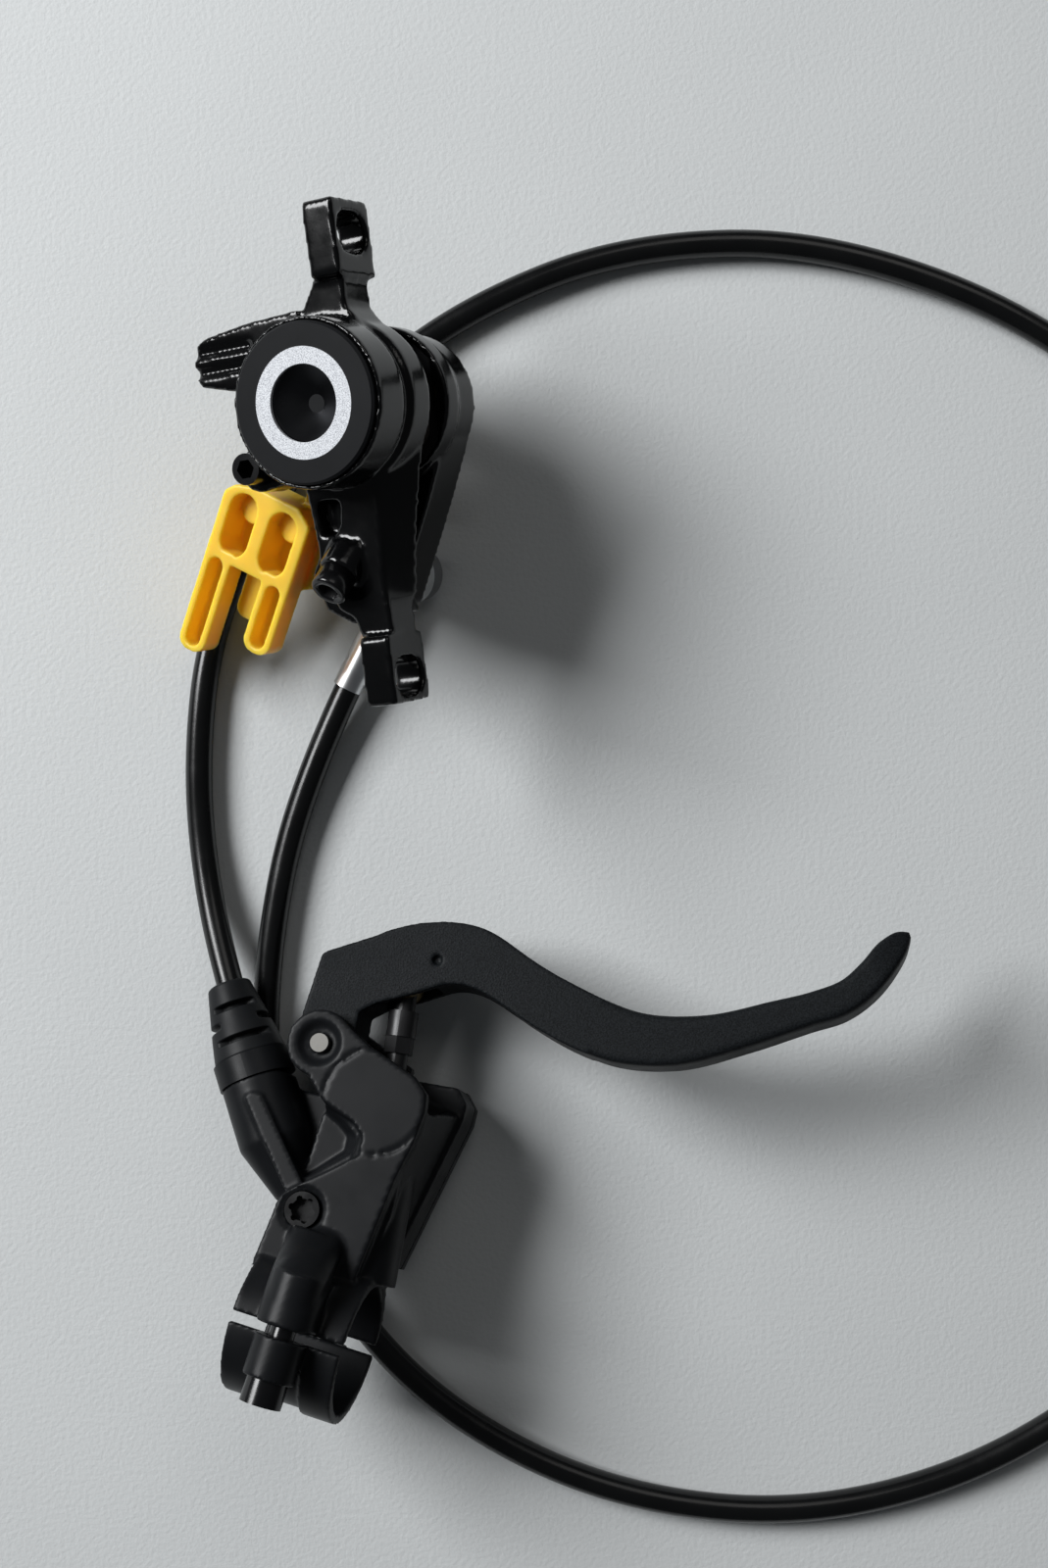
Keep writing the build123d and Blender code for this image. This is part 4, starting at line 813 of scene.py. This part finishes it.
def spline(points: np.ndarray, count: int) -> np.ndarray:
    """Points on a smooth curve through the given ones, evenly spread along its chords.

    Between two points the curve is a cubic whose slope at each is half the step between its
    neighbours, and at the ends the step itself.

    Args:
        points: an array of points by coordinates.
        count: how many points to give.

    Returns:
        An array of count points.
    """
    points = np.asarray(points, float)
    chord = np.r_[0.0, np.cumsum(np.linalg.norm(np.diff(points, axis=0), axis=1))]
    slope = np.gradient(points, chord, axis=0)
    at = np.linspace(0.0, chord[-1], count)
    k = np.clip(np.searchsorted(chord, at, side="right") - 1, 0, len(points) - 2)
    span = (chord[k + 1] - chord[k])[:, None]
    t = ((at - chord[k]) / span[:, 0])[:, None]
    return (
        (1 + 2 * t) * (1 - t) ** 2 * points[k]
        + t * (1 - t) ** 2 * span * slope[k]
        + t**2 * (3 - 2 * t) * points[k + 1]
        + t**2 * (t - 1) * span * slope[k + 1]
    )


def turned_grid(radius: np.ndarray, height: np.ndarray, angle: np.ndarray) -> np.ndarray:
    """Points at a radius and height round z: x = r cos a, y = r sin a, z = h.

    Args:
        radius: rows, or rows by columns.
        height: rows.
        angle: columns, in radians.

    Returns:
        Rows by columns by 3.
    """
    radius = radius[:, None] if radius.ndim == 1 else radius
    return np.stack(
        [radius * np.cos(angle), radius * np.sin(angle), height[:, None] + 0 * angle], axis=-1
    )


def revolved(axes: Axes, profile: np.ndarray, name: str, columns: int = 96) -> bpy.types.Mesh:
    """A closed surface of revolution: each profile point goes round the z axis of axes.

    Args:
        axes: the frame that it is turned in.
        profile: pairs of radius and height, from one end to the other, in millimetres.
        name: the mesh's name.
        columns: faces round it.

    Returns:
        The mesh.
    """
    angle = np.linspace(0.0, 2 * pi, columns, endpoint=False)
    radius, height = np.asarray(profile, float).T
    return mesh_from_grid(name, axes.place(turned_grid(radius, height, angle)))


@dataclass
class Caliper:
    """The caliper with its lock: softened forging and moulding, and turned pieces.

    Attributes:
        bleed_at: the bleed boss's place in the caliper's frame.
        bleed_along: the bleed screw's direction there.
        bleed_foot: where its head starts along it.
        bleed_head: the head's length.
        bleed_radius: the head's radius.
        bleed_thread: radius of the shank.
        bleed_rim: radius of the head's rounded rim.
        socket_radius: half the socket's width.
        socket_depth: the socket's depth.
        hexagon: what the hexagon's flats are widened by.
        cap_top: the cap's face along the caliper's axis.
        recess_radius: of the recess in that face.
        recess_wall: its straight wall.
        recess_cone: the cone's depth under the wall.
        lining: how thick the recess's lining is.
        pockets: the middles of the steps in the lock's frame.
        step_radius: of a step, up to its rounded rim.
        step_rim: radius of that rim.
        step_low: where a step starts, inside the lock.
        step_top: its top.
        legs: each leg's middle, half width, end, corner radius, and back and front bounds.
        back_edge: right bound, bottom, back and radius of the lock's rounded back edge.
    """

    bleed_at: tuple = (-1.5, -24.9, 11.2)
    bleed_along: tuple = (-0.2, -0.7, 0.69)
    bleed_foot: float = 4.75
    bleed_head: float = 4.0
    bleed_radius: float = 3.2
    bleed_thread: float = 1.7
    bleed_rim: float = 0.5
    socket_radius: float = 1.7
    socket_depth: float = 3.2
    hexagon: float = 1.08
    cap_top: float = 22.3
    recess_radius: float = 6.32
    recess_wall: float = 1.17
    recess_cone: float = 3.96
    lining: float = 0.25
    pockets: tuple = ((-5.1, -0.3), (3.5, -0.3))
    step_radius: float = 2.35
    step_rim: float = 0.3
    step_low: float = -2.6
    step_top: float = 1.5
    legs: tuple = (
        (-7.1, 2.9, -28.4, 2.6, 0.0, 9.0),
        (5.7, 2.9, -23.2, 2.6, 0.0, 9.0),
        (-1.2, 2.6, -20.0, 2.2, -9.0, -0.4),
    )

    back_edge: tuple = (-4.4, -10.5, -4.4, 2.2)

    def recess(self) -> bpy.types.Object:
        """The turned floor of the cap's recess: a short wall and a shallow cone, in the cap.

        Returns:
            The lining of the recess.
        """
        wall = self.cap_top - self.recess_wall
        centre = self.cap_top - self.recess_wall - self.recess_cone
        radius, rim = self.recess_radius, self.cap_top - 0.62
        share = np.linspace(0.0, 1.0, 40)[1:]
        slope = [(radius * (1 - t) + AXIS_HOLE * t, wall + (centre - wall) * t) for t in share]
        outer = radius + self.lining
        profile = [(AXIS_HOLE, centre - 0.6), (outer, wall - 0.3), (outer, rim), (radius, rim)]
        profile += [(radius, wall)] + slope
        columns = 96
        mesh = revolved(CALIPER, np.array(profile), "cap_recess", columns)
        turning_map(mesh, columns)
        piece = show("cap_recess", mesh, "brake", Slot.CAP)
        piece.material_slots[0].material = RECESS.material()
        return piece

    def round_legs(self, points: np.ndarray) -> np.ndarray:
        """Round both corners of each leg's end, and the block's hidden back edge on the left.

        In the lock's frame, a point of a leg at x, nearer to an edge than the corner's radius
        r, moves up to y = end + r - sqrt(r^2 - d^2), d being how far it is past the corner's
        centre. The back edge is rounded the same way in y and z, which keeps the block clear
        of the hose when the lock is pulled out.

        Args:
            points: points by coordinates.

        Returns:
            The moved points.
        """
        rows = LOCK.matrix()
        local = (points - LOCK.origin) @ rows.T
        for middle, half, end, radius, back, front in self.legs:
            past = np.abs(local[:, 0] - middle)
            deep = (local[:, 2] > back) & (local[:, 2] < front)
            here = (past < half + 0.6) & (local[:, 1] < end + radius) & deep
            off = np.clip(past - (half - radius), 0, radius)
            lowest = end + radius - np.sqrt(radius**2 - off**2)
            local[:, 1] = np.where(here, np.maximum(local[:, 1], lowest), local[:, 1])
        side, bottom, back, edge = self.back_edge
        off = np.clip(bottom + edge - local[:, 1], 0, edge)
        floor = back + edge - np.sqrt(edge**2 - off**2)
        here = (local[:, 0] < side) & (local[:, 1] > bottom - 0.5) & (local[:, 2] < back + edge)
        local[:, 2] = np.where(here, np.maximum(local[:, 2], floor), local[:, 2])
        return LOCK.origin + local @ rows

    def steps(self) -> list[bpy.types.Mesh]:
        """The round step in each pocket of the lock, with a rounded rim.

        Returns:
            The closed forms.
        """
        turn = np.linspace(0.0, pi / 2, 7)
        radius, rim, low, top = self.step_radius, self.step_rim, self.step_low, self.step_top
        profile = [(AXIS_HOLE, low), (radius + rim, low)]
        profile += [(radius + rim * np.cos(a), top - rim + rim * np.sin(a)) for a in turn]
        profile += [(AXIS_HOLE, top)]
        made = []
        for number, (x, y) in enumerate(self.pockets):
            axes = LOCK.turned((x, y, 0), (0, 0, 1), (1, 0, 0))
            made.append(revolved(axes, np.array(profile), f"step_{number}", 48))
        return made

    def bleed_screw(self) -> bpy.types.Object:
        """The bleed screw: a turned head with rounded rims and a deep hexagonal socket.

        The profile goes up the outside, over the rim and down into the socket. Inside, the
        radius of a column is that of a hexagon at the column's angle.

        Returns:
            The screw.
        """
        axes = CALIPER.turned(self.bleed_at, self.bleed_along, (1, 0, 0))
        top = self.bleed_foot + self.bleed_head
        angle = np.linspace(0.0, 2 * pi, 96, endpoint=False)
        turn = np.linspace(0.0, pi / 2, 7)
        rim, thread = self.bleed_rim, self.bleed_thread
        outside = [(thread, self.bleed_foot - 3.0), (thread, self.bleed_foot + 0.1)]
        outside += [(self.bleed_radius, self.bleed_foot)]
        outside += [(self.bleed_radius - rim * (1 - np.cos(a)), top - rim * (1 - np.sin(a))) for a in turn]
        inside = [(self.socket_radius + 0.35, top), (self.socket_radius, top - 0.4)]
        bottom = top - self.socket_depth
        inside += [(self.socket_radius, bottom), (AXIS_HOLE, bottom - 0.5)]
        radius, height = np.array(outside + inside).T
        grid_radius = radius[:, None] + 0 * angle
        flat = np.cos(pi / 6) / np.cos((angle + pi / 6) % (pi / 3) - pi / 6)
        first = len(outside) + 1
        grid_radius[first : first + 2] *= flat * self.hexagon
        grid = turned_grid(grid_radius, height, angle)
        mesh = mesh_from_grid("bleed_screw_turned", axes.place(grid))
        return show("bleed_screw_turned", mesh, "brake", Slot.SCREW, "caliper_bleed_screw")

    def build(self) -> None:
        """Build the shells of the forging and of the lock, the bleed screw and the recess."""
        SoftShell("caliper_body", "brake", Slot.CALIPER, 0.435, 8).build()
        lock = SoftShell("transport_lock", "transport_lock", Slot.LOCK, 0.25, 7)
        lock.joined, lock.reshape = tuple(self.steps()), self.round_legs
        lock.build()
        self.bleed_screw()
        self.recess()


@dataclass
class Lever:
    """The lever: housing, clamp and blade, each with softened edges.

    Attributes:
        upper: the finger part's outline on the side away from the bar, towards the tip.
        under: the same on the bar's side.
        half: half the blade's thickness.
        cut_at: where the solid's own finger part is left off, along x.
        tower_line: the near bolt tower's centre and radius at stations along y.
    """

    upper: tuple = (
        (38.0, 22.9), (46.0, 21.4), (52.0, 20.9), (63.2, 23.4), (74.0, 29.0), (80.4, 32.6),
        (84.6, 35.8), (87.0, 39.6), (89.2, 44.2), (91.8, 46.8), (93.4, 47.2),
    )
    under: tuple = (
        (38.0, 12.7), (44.0, 11.6), (49.0, 11.2), (60.4, 13.4), (72.5, 20.2), (81.6, 26.4),
        (87.0, 30.0), (90.6, 34.4), (93.0, 39.6), (94.0, 43.8), (94.0, 46.4),
    )
    half: float = 5.3
    cut_at: float = 46.0
    tower_line: tuple = (
        (11.6, -47.1, 15.6, 5.2),
        (11.4, -42.0, 15.0, 5.2),
        (10.6, -36.0, 11.4, 5.0),
        (9.6, -31.0, 6.6, 4.4),
    )

    def finger(self) -> bpy.types.Mesh:
        """The finger part: a rounded section carried between two outlines.

        At each station the section spans the two outlines. It is a superellipse: the offset
        across is sign(cos a)|cos a|^p and the height sign(sin a)|sin a|^p. The power p grows
        from 0.14, nearly square, to 0.30 halfway along. In the last 14% of the way the height
        falls to 0.45 of itself.

        Returns:
            The closed form.
        """
        rows = 150
        upper, under = spline(self.upper, rows), spline(self.under, rows)
        angle = np.linspace(0.0, 2 * pi, 72, endpoint=False)
        middle, reach = (upper + under) / 2, (upper - under) / 2
        along = np.linspace(0.0, 1.0, rows)
        power = (0.14 + 0.16 * np.clip(along / 0.5, 0, 1))[:, None]
        across = np.sign(np.cos(angle)) * np.abs(np.cos(angle)) ** power
        rise = np.sign(np.sin(angle)) * np.abs(np.sin(angle)) ** power
        thin = 1.0 - 0.55 * np.clip((along - 0.86) / 0.14, 0, 1) ** 1.6
        flat = middle[:, None, :] + reach[:, None, :] * across[..., None]
        height = self.half * thin[:, None] * rise
        return mesh_from_grid("finger", LEVER.place(np.concatenate([flat, height[..., None]], axis=-1)))

    def tower(self) -> bpy.types.Mesh:
        """The near bolt's tower: a round section whose centre and radius run along y.

        Returns:
            The closed form.
        """
        line = spline(self.tower_line, 40)
        angle = np.linspace(0.0, 2 * pi, 72, endpoint=False)
        grid = np.stack(
            [
                line[:, 0:1] + line[:, 3:4] * np.cos(angle),
                line[:, 1:2] + 0 * angle,
                line[:, 2:3] + line[:, 3:4] * np.sin(angle),
            ],
            axis=-1,
        )
        return mesh_from_grid("tower", LEVER.place(grid))

    def build(self) -> None:
        """Build the shells of the housing, the clamp and the blade."""
        SoftShell("master_housing", "brake", Slot.HOUSING, 0.365, 4, joined=(self.tower(),)).build()
        SoftShell("bar_clamp", "brake", Slot.HOUSING, 0.3, 5).build()
        end = LEVER.place([self.cut_at, 0, 0])
        cut = (end, LEVER.matrix()[0])
        SoftShell("lever_blade", "lever", Slot.BLADE, 0.3, 5, joined=(self.finger(),), cut=cut).build()


@dataclass
class Spring:
    """The master piston's return spring; the real one shortens as the piston comes in, while this copy keeps the
    solid's own length.

    Attributes:
        travel: the piston's whole range in millimetres; not used.
    """

    travel: float = 5.0

    def build(self) -> bpy.types.Object:
        """A copy of the solid's mesh, in the solid's place.

        Returns:
            The spring.
        """
        node = frame["nodes"]["return_spring"]
        mesh = node.data.copy()
        mesh.materials.clear()
        points = np.empty(3 * len(mesh.vertices), np.float32)
        mesh.vertices.foreach_get("co", points)
        turn = np.array(node.matrix_world)
        points = points.reshape(-1, 3).astype(float) @ turn[:3, :3].T + turn[:3, 3]
        mesh.vertices.foreach_set("co", points.astype(np.float32).ravel())
        piece = show("piston_spring", mesh, "brake", Slot.STEEL, "return_spring")
        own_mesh(piece)
        return piece


class Nodes:
    """The solids that show as they are, dressed in their slot's finish."""

    def dress(self) -> None:
        """Give each shown solid the material of its slot."""
        slots = {s["node"]: Slot(s["material_slot"]) for s in frame["record"]["subparts"]}
        for name, node in frame["nodes"].items():
            finish = BLACK_COAT if name in COATED else FINISHES[slots[name]]
            node.data.materials.clear()
            node.data.materials.append(finish.material())
        LOG.info("%d solids dressed", len(slots))


@dataclass
class Stage:
    """The table, the lights and the camera.

    Attributes:
        table: linear colour of the table.
        camera_height: of the lens above the table in millimetres.
        lens: focal length in millimetres, for a 36 mm long side.
    """

    table: tuple[float, float, float] = (0.62, 0.638, 0.64)
    camera_height: float = 400.0
    lens: float = 36.0 * 2190 / 1600

    def floor(self) -> None:
        """A wide flat table with a very fine texture."""
        side = 3000.0
        corners = np.array([[-side, -side, 0], [side, -side, 0], [side, side, 0], [-side, side, 0]])
        mesh = bpy.data.meshes.new("table")
        mesh.from_pydata((corners * MM).tolist(), [], [[0, 1, 2, 3]])
        table = bpy.data.objects.new("table", mesh)
        bpy.context.scene.collection.objects.link(table)
        finish = Finish(
            "table_top", self.table, (0.6, 0.7), grain=0.9, relief=0.09, drift=0.015, drift_size=60.0
        )
        mesh.materials.append(finish.material())

    def lamp(self, name: str, at: tuple, size: tuple, power: float, colour: tuple) -> None:
        """An oblong area light that faces the middle of the object.

        Args:
            name: its name.
            at: its place in millimetres.
            size: its two sides in millimetres.
            power: in watts.
            colour: its linear colour.
        """
        data = bpy.data.lights.new(name, "AREA")
        data.shape = "RECTANGLE"
        data.size, data.size_y = size[0] * MM, size[1] * MM
        data.energy = power
        data.color = colour
        lamp = bpy.data.objects.new(name, data)
        lamp.location = Vector(at) * MM
        lamp.rotation_euler = (-lamp.location).to_track_quat("-Z", "Y").to_euler()
        bpy.context.scene.collection.objects.link(lamp)

    def world(self) -> None:
        """Even pale light from all round."""
        world = bpy.data.worlds.new("room")
        world.use_nodes = True
        background = world.node_tree.nodes["Background"]
        background.inputs["Color"].default_value = (0.9, 0.95, 1.0, 1.0)
        background.inputs["Strength"].default_value = 0.06
        bpy.context.scene.world = world

    def camera(self) -> None:
        """A camera straight above the table, with its long side along y."""
        data = bpy.data.cameras.new("camera")
        data.sensor_width = 36.0
        data.lens = self.lens
        data.clip_start = 0.01
        camera = bpy.data.objects.new("camera", data)
        camera.location = (-REST[0] * MM, -REST[1] * MM, self.camera_height * MM)
        bpy.context.scene.collection.objects.link(camera)
        bpy.context.scene.camera = camera

    def build(self) -> None:
        """Set the stage, with a window on the left and weak light from the right."""
        self.floor()
        self.world()
        self.lamp("window", (-980, 520, 860), (720, 600), 25.5, (0.98, 0.99, 1.0))
        self.lamp("fill", (300, 900, 1100), (700, 700), 1.6, (1.0, 0.98, 0.95))
        self.camera()
        bpy.context.scene.view_settings.view_transform = "Standard"


def main() -> None:
    """Build the brake piece by piece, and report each."""
    logging.basicConfig(level=logging.INFO, format="%(name)s: %(message)s")
    Stage().build()
    hose = Hose()
    hose.build()
    Nodes().dress()
    Boot().build(hose.port())
    Caliper().build()
    Lever().build()
    Spring().build()


if __name__ == "__main__":
    main()
